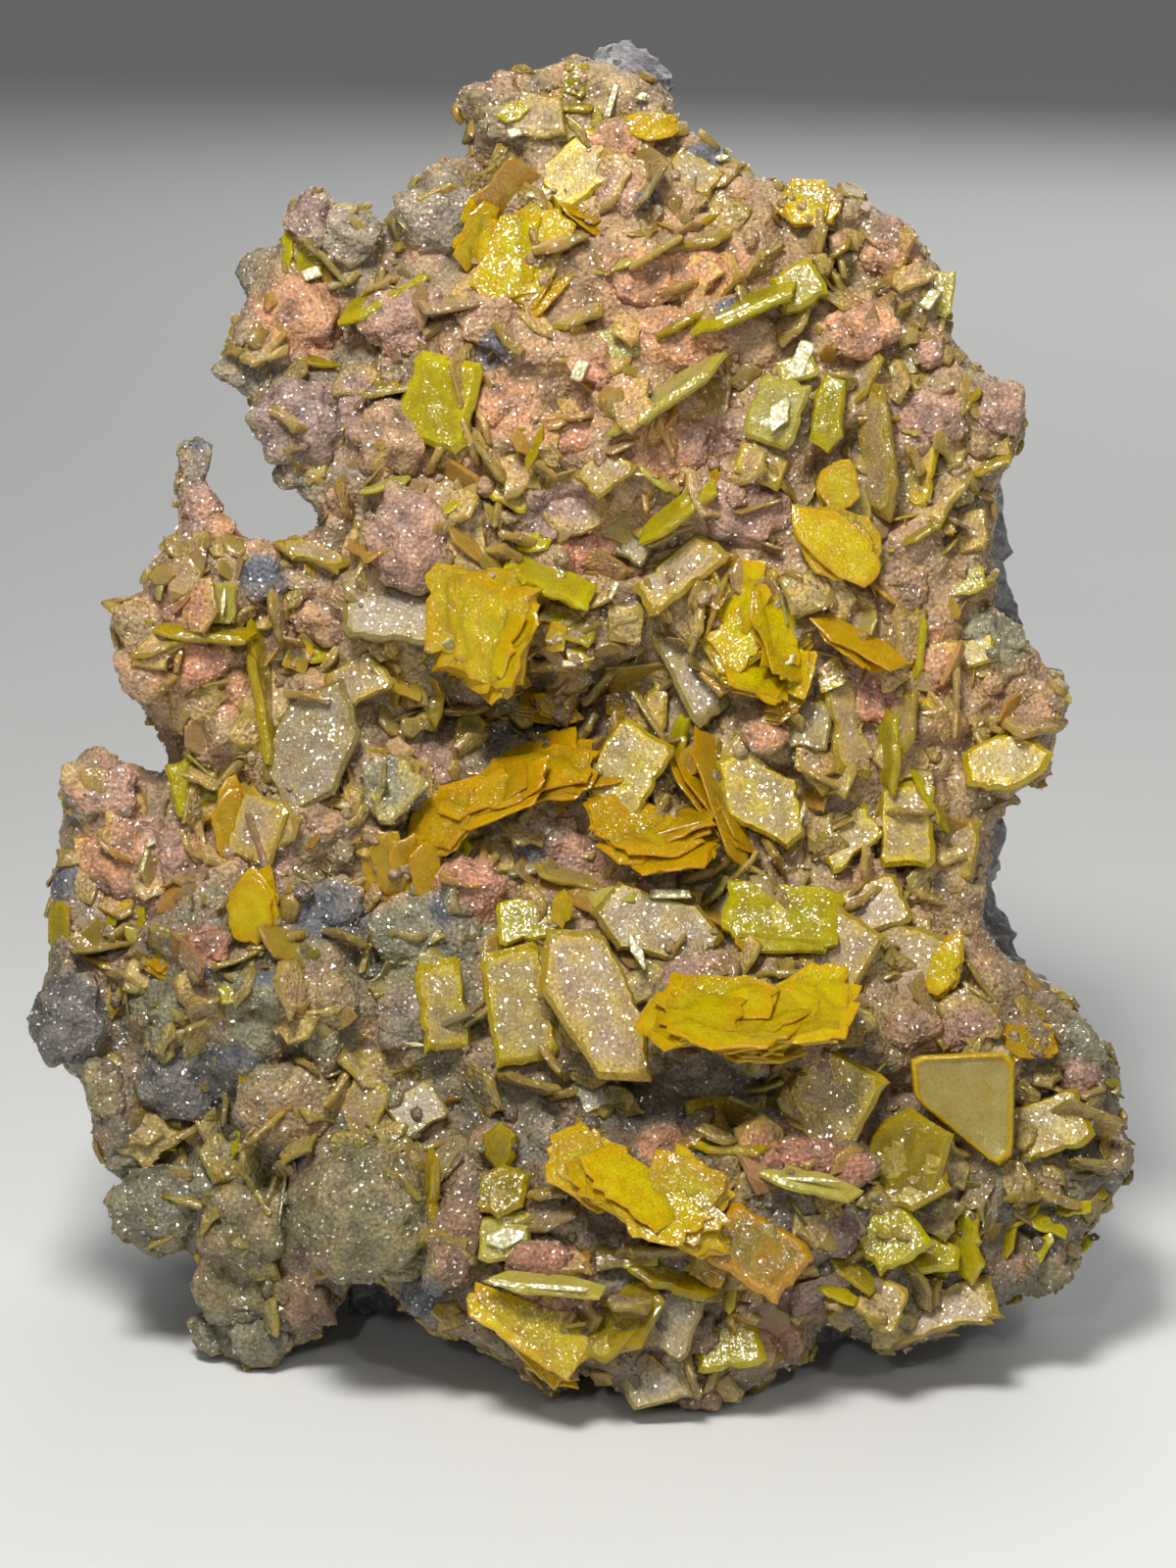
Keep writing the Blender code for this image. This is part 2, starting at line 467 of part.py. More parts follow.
def boundary_tool(shift, far_depth):
    """A solid between the rock-crust boundary, moved by shift, and a far depth."""
    step = 9.0
    columns = [-72.0 + step * i for i in range(17)]
    rows = [-16.0 + step * i for i in range(20)]
    bm = bmesh.new()
    near = [[bm.verts.new(place(x, y, rock_depth(x, y) + shift * (1.0 + rim_fall(x, y))))
             for x in columns] for y in rows]
    far = [[bm.verts.new(place(x, y, far_depth)) for x in columns] for y in rows]
    for sheet in (near, far):
        for j in range(len(rows) - 1):
            for i in range(len(columns) - 1):
                a, b, c, d = sheet[j][i], sheet[j][i + 1], sheet[j + 1][i + 1], sheet[j + 1][i]
                bm.faces.new((a, b, c))
                bm.faces.new((a, c, d))
    last_row, last_column = len(rows) - 1, len(columns) - 1
    for i in range(last_column):
        for j in (0, last_row):
            bm.faces.new((near[j][i], near[j][i + 1], far[j][i + 1], far[j][i]))
    for j in range(last_row):
        for i in (0, last_column):
            bm.faces.new((near[j][i], near[j + 1][i], far[j + 1][i], far[j][i]))
    bmesh.ops.recalc_face_normals(bm, faces=bm.faces)
    return new_object("boundary", bm)


def floor_tool():
    """Everything under the flat underside."""
    bm = bmesh.new()
    size = Matrix.Diagonal(Vector((400.0, 400.0, 100.0)) * MM).to_4x4()
    size.translation = Vector((0.0, 0.0, -50.0)) * MM
    bmesh.ops.create_cube(bm, size=1.0, matrix=size)
    return new_object("floor", bm)


# The host rock

def build_rock():
    """Angular broken blocks behind the crust, cut flat underneath."""
    rng = random.Random(7)
    bm = bmesh.new()
    spacing = 9.0
    depth = -14.0
    layer = 0
    while depth > ROCK_BACK_AT_FOOT:
        edge_margin = 5.5 + 1.6 * layer
        y = 4.0
        while y < 140.0:
            back = ROCK_BACK_AT_FOOT + (ROCK_BACK_AT_TOP - ROCK_BACK_AT_FOOT) * y / 140.0
            x = -58.0 + rng.uniform(0.0, 4.0)
            while x < 58.0:
                if inset(x, y) > edge_margin and depth + hills(x, y) * 0.5 > back:
                    size = rng.uniform(11.0, 14.5)
                    tilt = [rng.uniform(-0.3, 0.3) for _ in range(3)]
                    depth_here = depth + hills(x, y) * 0.5 + rng.uniform(-1.5, 1.5)
                    add_block(bm, x, y, depth_here, size, size * 0.95, size, tilt)
                x += spacing + rng.uniform(-1.0, 1.0)
            y += spacing
        depth -= spacing
        layer += 1
    for x, y, block_depth, width, height, thickness in ROCK_BLOCKS:
        tilt = [rng.uniform(-0.2, 0.2) for _ in range(3)]
        add_block(bm, x, y, block_depth, width, height, thickness, tilt)
    rock = new_object("host_rock", bm)
    remesh(rock, ROCK_VOXEL)
    decimate(rock, ROCK_TRIANGLES)
    combine(rock, boundary_tool(-GAP, 90.0), "DIFFERENCE")
    combine(rock, floor_tool(), "DIFFERENCE")
    keep_main_body(rock)
    return rock


# The crust of mimetite

def add_edge_lumps(bm, rng):
    """Lumps that follow the edge, each touching it from inside."""
    spacing = 3.6
    carried = 0.0
    count = len(OUTLINE_POINTS)
    for index in range(count):
        start = Vector(OUTLINE_POINTS[index])
        step = Vector(OUTLINE_STEPS[index])
        length = step.length
        inward = Vector((step.y, -step.x)) / length
        while carried < length:
            radius = rng.uniform(2.2, 3.4)
            spot = start + step * (carried / length) + inward * radius
            if inset(spot.x, spot.y) > radius * 0.7:
                depth = face_depth(spot.x, spot.y) - radius * 0.4
                add_lump(bm, spot.x, spot.y, depth, radius, radius, radius * 1.4)
                add_lump(bm, spot.x, spot.y, depth - 5.0, radius, radius, radius * 1.6)
            carried += spacing
        carried -= length


def add_field_lumps(bm, rng):
    """Lumps all over the front, with larger ones behind them that close the crust."""
    spacing = 5.4
    row = 0
    y = 0.0
    while y < 142.0:
        x = -60.0 + (spacing / 2 if row % 2 else 0.0)
        while x < 60.0:
            spot_x = x + rng.uniform(-1.6, 1.6)
            spot_y = y + rng.uniform(-1.6, 1.6)
            margin = inset(spot_x, spot_y)
            if margin > 3.6:
                radius = min(rng.uniform(2.2, 4.8), margin)
                surface = face_depth(spot_x, spot_y)
                proud = rng.uniform(-1.6, 1.4)
                add_lump(bm, spot_x, spot_y, surface + proud - radius * 0.7, radius, radius, radius)
                fill = min(5.5, margin)
                add_lump(bm, spot_x, spot_y, surface - 7.0, fill, fill, 5.5)
            x += spacing
        y += spacing * 0.87
        row += 1


def build_crust():
    """The knobbly mimetite crust over the whole front."""
    rng = random.Random(11)
    bm = bmesh.new()
    add_edge_lumps(bm, rng)
    add_field_lumps(bm, rng)
    for x, y, half_width, half_height, out in LUMPS:
        half_depth = 0.5 * (half_width + half_height)
        depth = face_depth(x, y) + out - half_depth
        add_lump(bm, x, y, depth, half_width, half_height, half_depth * 1.15)
    crust = new_object("mimetite_crust", bm)
    remesh(crust, CRUST_VOXEL)
    decimate(crust, CRUST_TRIANGLES)
    combine(crust, boundary_tool(0.0, -90.0), "DIFFERENCE")
    combine(crust, floor_tool(), "DIFFERENCE")
    keep_main_body(crust)
    return crust


# The wulfenite crystals

def crust_tree(crust):
    """The crust's surface, for finding how high it stands at a place."""
    bm = bmesh.new()
    bm.from_mesh(crust.data)
    tree = BVHTree.FromBMesh(bm)
    bm.free()
    return tree


def lift_above_hills(tree, plates):
    """How far the crust's lumps stand above its broad hills, on average, under some plates."""
    lifts = []
    for plate in plates:
        x, y, length, width = plate[0], plate[1], plate[3], plate[4]
        reach = 0.25 * min(length, width)
        for step_x, step_y in ((0, 0), (reach, 0), (-reach, 0), (0, reach), (0, -reach)):
            start = place(x + step_x, y + step_y, 60.0)
            sight = (place(x + step_x, y + step_y, -60.0) - start).normalized()
            hit = tree.ray_cast(start, sight)[0]
            if hit:
                depth = (hit / MM + ORIGIN - CENTRE).dot(TOWARDS)
                lifts.append(depth - face_depth(x, y))
    return sum(lifts) / len(lifts) if lifts else 0.0


def add_plate(name, plate, lift, grow=0.0):
    """One tabular crystal: two flat faces and a bevelled rim. It can be made larger all round."""
    x, y, out, length, width, thickness, turn, lean, nod, shape = plate
    rim = min(0.45 * thickness, 0.12 * width)
    length += 2 * grow
    width += 2 * grow
    thickness += 2 * grow
    bm = bmesh.new()
    rings = []
    for height, shrink in ((-0.5, rim), (0.0, 0.0), (0.5, rim)):
        ring = []
        for across, along in shape:
            corner_x = along * (length / 2 - shrink)
            corner_y = across * (width / 2 - shrink)
            ring.append(bm.verts.new(Vector((corner_x, corner_y, height * thickness)) * MM))
        rings.append(ring)
    count = len(shape)
    for lower, upper in zip(rings, rings[1:]):
        for i in range(count):
            j = (i + 1) % count
            bm.faces.new((lower[i], lower[j], upper[j], upper[i]))
    bm.faces.new(rings[0])
    bm.faces.new(rings[-1])
    bmesh.ops.recalc_face_normals(bm, faces=bm.faces)
    axes = Matrix((RIGHT, UP, TOWARDS)).transposed()
    spin = (Matrix.Rotation(math.radians(turn), 3, "Z") @ Matrix.Rotation(-math.radians(nod), 3, "Y")
            @ Matrix.Rotation(-math.radians(lean), 3, "X"))
    matrix = (axes @ spin).to_4x4()
    matrix.translation = place(x, y, face_depth(x, y) + lift + out)
    bmesh.ops.transform(bm, matrix=matrix, verts=bm.verts)
    return new_object(name, bm)


def build_crystal(name, plates, lift):
    """A crystal, or several that grew through each other and are one piece."""
    crystal = add_plate(name, plates[0], lift)
    for plate in plates[1:]:
        combine(crystal, add_plate("plate", plate, lift), "UNION")
    return crystal


def build_triangle():
    """The triangular crystal: a bevelled raised rim round a sunken face, on a tapering root."""
    corners = [Vector(corner) for corner in TRIANGLE_CORNERS]
    middle = sum(corners, Vector((0.0, 0.0))) / 3
    depth = face_depth(middle.x, middle.y) + TRIANGLE_OUT
    bm = bmesh.new()
    levels = (
        (0.55, -TRIANGLE_ROOT),
        (1.0, -2.2),
        (1.0, -TRIANGLE_RIM * 0.8),
        (0.86, 0.0),
        (0.70, 0.0),
        (0.62, -TRIANGLE_DISH),
    )
    rings = []
    for scale, drop in levels:
        ring = []
        for index, corner in enumerate(corners):
            spot = middle + (corner - middle) * scale
            tilt = (0.9, 0.2, -0.8)[index] * scale
            ring.append(bm.verts.new(place(spot.x, spot.y, depth + drop + tilt)))
        rings.append(ring)
    for lower, upper in zip(rings, rings[1:]):
        for i in range(3):
            j = (i + 1) % 3
            bm.faces.new((lower[i], lower[j], upper[j], upper[i]))
    bm.faces.new(rings[0])
    bm.faces.new(rings[-1])
    bmesh.ops.recalc_face_normals(bm, faces=bm.faces)
    return new_object("wulfenite_triangle", bm)


def box(part):
    """The lowest and the highest corner of the box round an object."""
    points = np.array([vert.co for vert in part.data.vertices])
    return points.min(axis=0), points.max(axis=0)


def touching(part, other):
    """Whether two objects' boxes meet."""
    low, high = box(part)
    other_low, other_high = box(other)
    return bool((low <= other_high).all() and (other_low <= high).all())


def seat(crystal, crust, earlier):
    """Trim a crystal where it grows out of the crust or meets a crystal placed before it."""
    combine(crystal, swollen_copy(crust, GAP), "DIFFERENCE")
    for plate, lift in earlier:
        clearance = add_plate("clearance", plate, lift, grow=GAP)
        if touching(crystal, clearance):
            combine(crystal, clearance, "DIFFERENCE")
        else:
            bpy.data.objects.remove(clearance)
    keep_main_body(crystal)


def give_material(part, look):
    colour, metallic, roughness = look
    material = bpy.data.materials.new(part.name)
    material.use_nodes = True
    shader = material.node_tree.nodes["Principled BSDF"]
    shader.inputs["Base Color"].default_value = colour
    shader.inputs["Metallic"].default_value = metallic
    shader.inputs["Roughness"].default_value = roughness
    material.diffuse_color = colour
    part.data.materials.clear()
    part.data.materials.append(material)


def main():
    for existing in list(bpy.data.objects):
        bpy.data.objects.remove(existing)
    rock = build_rock()
    crust = build_crust()
    give_material(rock, ROCK_LOOK)
    give_material(crust, CRUST_LOOK)
    tree = crust_tree(crust)
    crystals = []
    seated_plates = []
    for name, plates in CRYSTALS.items():
        lift = lift_above_hills(tree, plates)
        crystal = build_crystal(name, plates, lift)
        seat(crystal, crust, seated_plates)
        seated_plates.extend((plate, lift) for plate in plates)
        crystals.append(crystal)
    triangle = build_triangle()
    seat(triangle, crust, seated_plates)
    crystals.append(triangle)
    for crystal in crystals:
        give_material(crystal, WULFENITE_LOOK)


main()
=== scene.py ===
"""Wulfenite specimen: the looks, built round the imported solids.

The crust and the rock are finely resurfaced copies of their solids. The larger crystals are
rebuilt with growth steps, ragged edges and sugary coats where their solids stand. Smaller blades,
mimetite balls and sparkling grains are spread over the crust.
Table lengths are millimetres on the layout plane of the solid model: x to the right, y up the
leaning front, and depth towards the viewer.
"""
import math
import random

import bmesh
import bpy
import numpy as np
from mathutils import Matrix, Vector, noise
from mathutils.bvhtree import BVHTree
from mathutils.geometry import delaunay_2d_cdt


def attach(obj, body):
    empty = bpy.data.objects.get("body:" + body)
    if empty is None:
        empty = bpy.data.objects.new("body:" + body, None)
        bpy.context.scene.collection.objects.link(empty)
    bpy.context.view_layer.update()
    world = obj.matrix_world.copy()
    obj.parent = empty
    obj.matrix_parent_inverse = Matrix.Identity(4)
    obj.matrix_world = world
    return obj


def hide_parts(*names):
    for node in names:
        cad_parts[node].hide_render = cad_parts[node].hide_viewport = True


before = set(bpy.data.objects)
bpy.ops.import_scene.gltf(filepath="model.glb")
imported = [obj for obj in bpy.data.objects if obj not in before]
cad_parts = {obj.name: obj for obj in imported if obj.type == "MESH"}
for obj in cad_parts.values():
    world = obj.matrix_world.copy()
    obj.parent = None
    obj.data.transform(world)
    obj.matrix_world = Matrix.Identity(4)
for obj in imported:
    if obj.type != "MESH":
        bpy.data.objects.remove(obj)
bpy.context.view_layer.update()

MM = 0.001

# The layout plane of the solid model, and the viewer's place
LEAN = math.radians(15.0)
VIEW_DISTANCE = 400.0
LAYOUT_MIDDLE = 64.5
RIGHT = Vector((1.0, 0.0, 0.0))
UP = Vector((0.0, math.sin(LEAN), math.cos(LEAN)))
TOWARDS = Vector((0.0, -math.cos(LEAN), math.sin(LEAN)))
CENTRE = Vector((0.0, LAYOUT_MIDDLE * math.sin(LEAN), LAYOUT_MIDDLE * math.cos(LEAN)))
ORIGIN = Vector((-1.2, 23.6, 3.4))
CAMERA_LENS = 90.0

# The crust's edge and its broad hills, as in the solid model
RIM_WIDTH = 10.0
CRUST_THICKNESS = 8.5
CRUST_OUTLINE = (
    (-1, 139.5), (4, 137.5), (9, 136), (10, 131.5), (14, 129.5), (17, 126.5), (20, 125.5),
    (26, 125.5), (30.5, 123), (34.5, 119.5), (36.5, 116), (36.8, 111.5), (39, 107.5),
    (43.5, 104.5), (44.8, 101.5), (44, 98.5), (41.5, 95), (41.8, 89), (42, 81.5), (44.5, 79.5),
    (45.5, 76.5), (48.5, 75.5), (49.7, 73), (47.5, 68.5), (46, 64.5), (42.5, 63), (41, 57.5),
    (40.5, 51.5), (42, 48), (46, 44.5), (50, 41.5), (52, 38.5), (54.3, 36), (54.5, 31.5),
    (55.8, 25.5), (54, 23), (53, 20.5), (50, 17.5), (48, 12.5), (45, 12.5), (40, 10), (36, 8),
    (30.5, 6.5), (25, 9), (22, 10.5), (21.5, 6.5), (17.5, 3), (12.5, 0.5), (5, 1), (0, 4.5),
    (-3.3, 2.5), (-8, 5), (-12.5, 8), (-16, 8.7), (-19, 11.5), (-23, 14.5), (-26, 10.5),
    (-30, 8), (-31, 5), (-33.5, 4.3), (-40, 7.5), (-41, 9.5), (-38.5, 11.5), (-40, 17),
    (-45, 16.7), (-48.5, 18.5), (-47, 23.5), (-50, 26.5), (-51.5, 34.5), (-55, 36.5),
    (-57.2, 40.5), (-55.5, 44.5), (-55.2, 54.5), (-53.5, 58.5), (-53.8, 64.5), (-52.5, 67),
    (-45.5, 65.5), (-43, 65.5), (-43.5, 69), (-45, 71), (-47.5, 74.5), (-48, 78.5),
    (-49.5, 81.5), (-48.5, 83), (-45.5, 84), (-44, 88.5), (-41.5, 90.5), (-41, 94.5),
    (-41.8, 99.5), (-40.8, 100.8), (-39.6, 97.5), (-38.4, 94), (-35.5, 90), (-28, 88),
    (-27.5, 92), (-30.5, 95), (-33, 98.5), (-34.6, 103.5), (-38.2, 105.5), (-37.5, 109),
    (-35, 113.5), (-32.5, 116.5), (-30.5, 123), (-28, 124.5), (-22, 123), (-21, 120),
    (-19, 124.5), (-16, 128), (-12, 129.5), (-13.8, 133.5), (-13, 136), (-5.5, 137.5),
)
# Hills and hollows of the front: x, y, half-width, half-height, depth
HILLS = (
    (8, 20, 36, 20, 14),
    (16, 41, 17, 6, 7),
    (-2, 8, 24, 8, 3),
    (-6, 70.8, 12, 4.2, -11),
    (5, 75.5, 5, 4, -5),
    (13, 32.5, 15, 3, -8),
    (-22.5, 44, 4, 4, -6),
    (-37, 29, 5, 4, -7),
    (4, 30.5, 5, 3, -5),
    (31, 35, 5, 3.5, -4),
    (9, 88.5, 4, 3, -3),
    (-33, 78, 3, 7, -2.5),
    (-41, 68, 3.5, 7, -6),
    (-44, 24.5, 6, 3, -4),
    (-27, 15, 3.5, 4, -5),
    (-17, 96, 5, 3, -3),
    (-25, 105.5, 5, 4, -3),
    (-47, 56, 9, 14, -9),
    (-38, 12, 10, 10, -4),
    (-30, 43, 16, 6, 7),
    (-22, 22, 8, 7, 4),
    (5, 105, 26, 20, 3),
    (-27, 112, 9, 12, -4),
    (-31, 99, 8, 7, 3),
    (-16, 88, 9, 8, 3),
    (2, 101, 9, 8, 2),
    (14, 114, 10, 8, 2),
    (26, 84, 10, 12, 4),
    (38, 70, 8, 8, 2),
    (-40, 52, 7, 6, 3),
    (-38, 81, 8, 7, 2),
)

# Outlines of crystal faces, as fractions of half-width and half-length
SQUARE = ((1.0, 0.76), (0.8, 1.0), (-0.88, 1.0), (-1.0, 0.84),
          (-1.0, -0.8), (-0.76, -1.0), (0.84, -1.0), (1.0, -0.88))
BLADE = ((1.0, 0.42), (0.3, 1.0), (-0.9, 0.78), (-1.0, -0.5), (-0.2, -1.0), (0.95, -0.72))
LEAF = ((0.9, 0.3), (0.25, 1.0), (-0.8, 0.5), (-1.0, -0.35), (-0.35, -1.0), (0.8, -0.5))
LENS = ((1.0, 0.1), (0.82, 0.55), (0.4, 0.88), (-0.15, 1.0), (-0.6, 0.74), (-0.92, 0.34),
        (-1.0, -0.15), (-0.78, -0.6), (-0.35, -0.92), (0.2, -1.0), (0.66, -0.76), (0.94, -0.35))
KITE = ((1.0, 0.12), (0.3, 1.0), (-0.25, 0.92), (-1.0, -0.12), (-0.28, -1.0), (0.3, -0.88))
FIN = ((1.0, 0.5), (0.3, 0.85), (-0.62, 0.74), (-0.48, -0.83), (-0.1, -1.0))
SHAPES = (SQUARE, BLADE, LEAF, KITE)

# The larger crystals, where their solids stand. Each has a look and its plates. For a plate:
# x, y, how far it stands off the crust, length, width, thickness, turn of its length from level,
# lean of its face away from the viewer, nod of its far end towards the viewer, outline
CRYSTALS = {
    "wulfenite_top_plate": ("bright", (
        (6.5, 131.8, 1.4, 7.0, 3.6, 1.4, 8, 20, 5, LENS),)),
    "wulfenite_upper_left_plate": ("bright", (
        (-7.6, 118.4, 2.0, 15.5, 9.6, 1.5, 48, 12, 8, KITE),
        (-11.8, 120.5, 1.4, 8, 4.5, 1.1, 62, -25, 10, BLADE),)),
    "wulfenite_upper_right_plate": ("bright", (
        (22, 123.5, 0.8, 8.2, 5.8, 1.5, -8, 22, 5, BLADE),)),
    "wulfenite_right_blade": ("green", (
        (21.5, 115.3, 1.6, 5.4, 4.8, 2, 30, 10, 0, SQUARE),
        (15.8, 113, 1.4, 13.5, 5, 1.1, 24, 66, 4, BLADE),)),
    "wulfenite_upper_long_blade": ("pale", (
        (7.8, 104, 2.2, 15.5, 6, 1.2, 33, 70, 6, BLADE),)),
    "wulfenite_upper_glint_plate": ("pale", (
        (19.2, 102.6, 1.6, 7, 6, 1.1, 70, 12, 5, SQUARE),
        (21.2, 106.8, 1.2, 4.6, 3, 1, 20, 15, 0, SQUARE),)),
    "wulfenite_upper_column": ("green", (
        (24.6, 102.4, 1.4, 9.4, 3.6, 1.6, 84, 15, 0, BLADE),)),
    "wulfenite_tall_blade": ("tan", (
        (29.6, 98.6, 1.6, 16, 5.5, 1.1, 97, 55, 0, BLADE),)),
    "wulfenite_green_top_plate": ("druse", (
        (-0.9, 126.9, 1, 8.4, 7, 1.2, 35, 18, 0, SQUARE),)),
    "wulfenite_left_bumpy_plate": ("green", (
        (-15.2, 103.4, 2, 9.8, 8.6, 1.8, 75, 15, 5, SQUARE),)),
    "wulfenite_shoulder_blade": ("green", (
        (-20.8, 114.4, 1, 12.6, 4.5, 1.1, 31, 55, 5, BLADE),)),
    "wulfenite_pale_blade": ("green", (
        (9.2, 92.2, 1.6, 10.8, 4, 1.1, 37, 55, 5, BLADE),)),
    "wulfenite_large_yellow_plate": ("bright", (
        (25.4, 89.2, 2.6, 12.8, 8.2, 1.6, -32, 14, -4, LENS),
        (25.2, 95.3, 2.2, 5.6, 4.8, 1.2, 70, 10, 8, LENS),)),
    "wulfenite_left_grey_plate": ("grey", (
        (-19, 82, 1.8, 13.4, 8, 1.2, -6, 28, 8, SQUARE),)),
    "wulfenite_square_chunk": ("bright", (
        (-10.4, 80.2, 3, 12.4, 11, 2.2, 78, 12, 6, SQUARE),
        (-9.6, 79, 3.4, 11, 9, 1.4, 62, 30, 10, SQUARE),
        (-10.8, 82, 1.6, 11.4, 10.4, 1.6, 88, -14, 0, SQUARE),)),
    "wulfenite_left_ridge_blades": ("olive", (
        (-33, 73.6, 1.4, 18.4, 5, 1.1, -80, 68, 0, BLADE),
        (-39, 80, 0.8, 11.5, 4.5, 1.1, -4, 62, 0, BLADE),)),
    "wulfenite_left_tan_plate": ("grey", (
        (-28, 68.4, 2.2, 17.5, 10.5, 1.2, 58, 22, 8, LEAF),)),
    "wulfenite_left_small_plate": ("green", (
        (-40, 64.5, 1, 6.4, 6, 1.4, 20, 15, 5, SQUARE),)),
    "wulfenite_left_point": ("orange", (
        (-36.8, 61, 2.2, 10.0, 4.2, 1.6, -98, 22, 0, LENS),)),
    "wulfenite_left_tall_plate": ("bright", (
        (-33.8, 51.4, 2.6, 10.0, 6.0, 1.4, 92, 18, 5, LENS),)),
    "wulfenite_twin_blades": ("orange", (
        (-20.8, 56.4, 1.8, 9, 5.6, 1.4, 104, 22, 8, BLADE),
        (-17.2, 56, 2, 8.6, 5.4, 1.4, 80, -22, 8, BLADE),)),
    "wulfenite_curved_spray": ("orange", (
        (-14.5, 60.8, 2.6, 11.5, 7.5, 1.3, 32, 35, 10, LEAF),
        (-9.8, 63.4, 3.2, 13.5, 8.5, 1.3, 24, 48, 10, BLADE),
        (-4.5, 65.2, 3.4, 14, 9, 1.3, 14, 42, 12, BLADE),
        (-0.5, 66.6, 2.6, 11, 8, 1.3, 4, 52, 8, BLADE),
        (-7.5, 66.8, 1.6, 15, 7.5, 1.2, 20, 60, 4, BLADE),)),
    "wulfenite_centre_druse_plate": ("druse", (
        (4.2, 66, 2.6, 9.4, 7.6, 1.1, 60, 20, 0, SQUARE),)),
    "wulfenite_centre_spray": ("orange", (
        (6.2, 59, 3, 13.4, 8, 1.3, -16, 45, 10, LEAF),
        (8.8, 57.8, 3.2, 12.4, 8, 1.3, 2, 52, 8, BLADE),
        (4.2, 60.2, 2.4, 11, 7, 1.3, -38, 38, 8, BLADE),
        (9.6, 60.4, 2.2, 9, 6, 1.2, 18, 60, 8, BLADE),)),
    "wulfenite_centre_thin_blade": ("orange", (
        (12.8, 63.2, 2.4, 16.8, 5, 1.1, -63, 55, 5, BLADE),)),
    "wulfenite_right_druse_plate": ("druse", (
        (17.6, 63, 2.4, 12.6, 9.4, 1.2, -52, 15, 4, KITE),)),
    "wulfenite_centre_tan_plate": ("grey", (
        (10.5, 76.2, 2, 11.4, 5.2, 1.1, -62, 18, 8, SQUARE),)),
    "wulfenite_upper_cluster": ("bright", (
        (15.4, 83.6, 1.8, 9, 7, 1.3, 70, 25, 8, SQUARE),
        (19.6, 80, 2.4, 11, 7.5, 1.3, -70, 35, 6, BLADE),
        (17.6, 76.2, 2.6, 10, 7, 1.3, -20, 40, 6, BLADE),
        (16, 79.2, 2.8, 9, 6, 1.2, 30, 20, 10, SQUARE),)),
    "wulfenite_right_diagonal_blade": ("orange", (
        (27, 79, 1.6, 10.8, 4.6, 1.1, -37, 45, 5, BLADE),)),
    "wulfenite_right_thin_blade": ("green", (
        (30.8, 68, 1.6, 9.5, 4, 1, 92, 62, 0, BLADE),)),
    "wulfenite_right_green_plate": ("druse", (
        (32.6, 60.4, 1.6, 9.4, 6.4, 1.2, 88, 20, 0, SQUARE),)),
    "wulfenite_right_rounded_plate": ("druse", (
        (42.4, 66.6, 1.6, 10, 6.4, 1.4, 16, 18, 0, LENS),)),
    "wulfenite_yellow_edge_plate": ("green", (
        (19.9, 51.4, 2.2, 12.2, 7.4, 1.3, -5, 35, 4, SQUARE),
        (20.3, 49, 1.8, 10.5, 5.5, 1.2, -3, 52, 0, BLADE),)),
    "wulfenite_hexagonal_plate": ("tan", (
        (7.2, 49.8, 2.6, 14.6, 8, 1.2, -18, 18, 4, BLADE),)),
    "wulfenite_tan_plates": ("tan", (
        (25.8, 47.4, 2, 8.4, 7.4, 1.2, 60, 18, 0, SQUARE),
        (29, 52, 1.6, 7, 6, 1.2, 20, 22, 0, SQUARE),)),
    "wulfenite_right_yellow_plate": ("bright", (
        (36.6, 46.2, 2.0, 8.0, 4.2, 1.4, 78, 18, 0, LENS),)),
    "wulfenite_sparkling_plate": ("tan", (
        (0.8, 42, 3, 18.4, 8.6, 1.2, -62, 14, 4, BLADE),)),
    "wulfenite_left_centre_plate": ("druse", (
        (-7.2, 41.8, 2.8, 12.6, 7.2, 1.2, -80, 16, 6, SQUARE),)),
    "wulfenite_rosette": ("bright", (
        (11, 40.6, 4.6, 13, 11, 1.4, 4, 58, 0, BLADE),
        (16, 39.8, 5.4, 16, 12, 1.4, -2, 64, 0, LEAF),
        (20.4, 40.8, 5.2, 14, 11, 1.3, 8, 56, 4, BLADE),
        (22.6, 42.4, 4.6, 11, 9, 1.3, 20, 50, 6, BLADE),
        (14.4, 42.2, 3.8, 14, 9, 1.3, 0, 46, 0, BLADE),
        (17.8, 37.8, 4.6, 12, 9, 1.2, -4, 74, 0, LEAF),)),
    "wulfenite_yellow_rim_plate": ("druse", (
        (24.6, 32.6, 2.8, 10.2, 9.2, 1.3, 62, 16, 4, SQUARE),)),
    "wulfenite_serrated_plate": ("olive", (
        (32.4, 26.4, 2.2, 11, 9, 1.3, 70, 22, 6, BLADE),
        (33.4, 24, 2.2, 8, 6, 1.2, 30, 30, 6, BLADE),)),
    "wulfenite_far_right_plate": ("druse", (
        (47, 29.6, 1.8, 8.2, 6.6, 1.2, 22, 25, 8, SQUARE),)),
    "wulfenite_pale_green_blade": ("pale", (
        (22.6, 23.8, 2.6, 10.4, 3.6, 1.1, -12, 58, 4, BLADE),)),
    "wulfenite_lower_spray": ("bright", (
        (0.6, 25.6, 3.6, 11, 7.5, 1.3, -40, 30, 8, BLADE),
        (4.2, 23.4, 4.2, 13, 8, 1.3, -30, 38, 8, BLADE),
        (8.2, 21.2, 4.2, 12.5, 8, 1.3, -24, 34, 8, LEAF),
        (11.2, 19.2, 3.6, 9, 6.5, 1.2, -42, 28, 6, LEAF),
        (10.4, 23.6, 3.2, 9.5, 5.5, 1.2, -32, 20, 0, SQUARE),)),
    "wulfenite_brown_plate": ("brown", (
        (17.2, 16.6, 2.6, 9.6, 7.4, 1.3, -34, 16, 4, SQUARE),)),
    "wulfenite_olive_fan": ("olive", (
        (-8.8, 23, 2.4, 7.2, 5.6, 1.3, 20, 22, 6, LEAF),
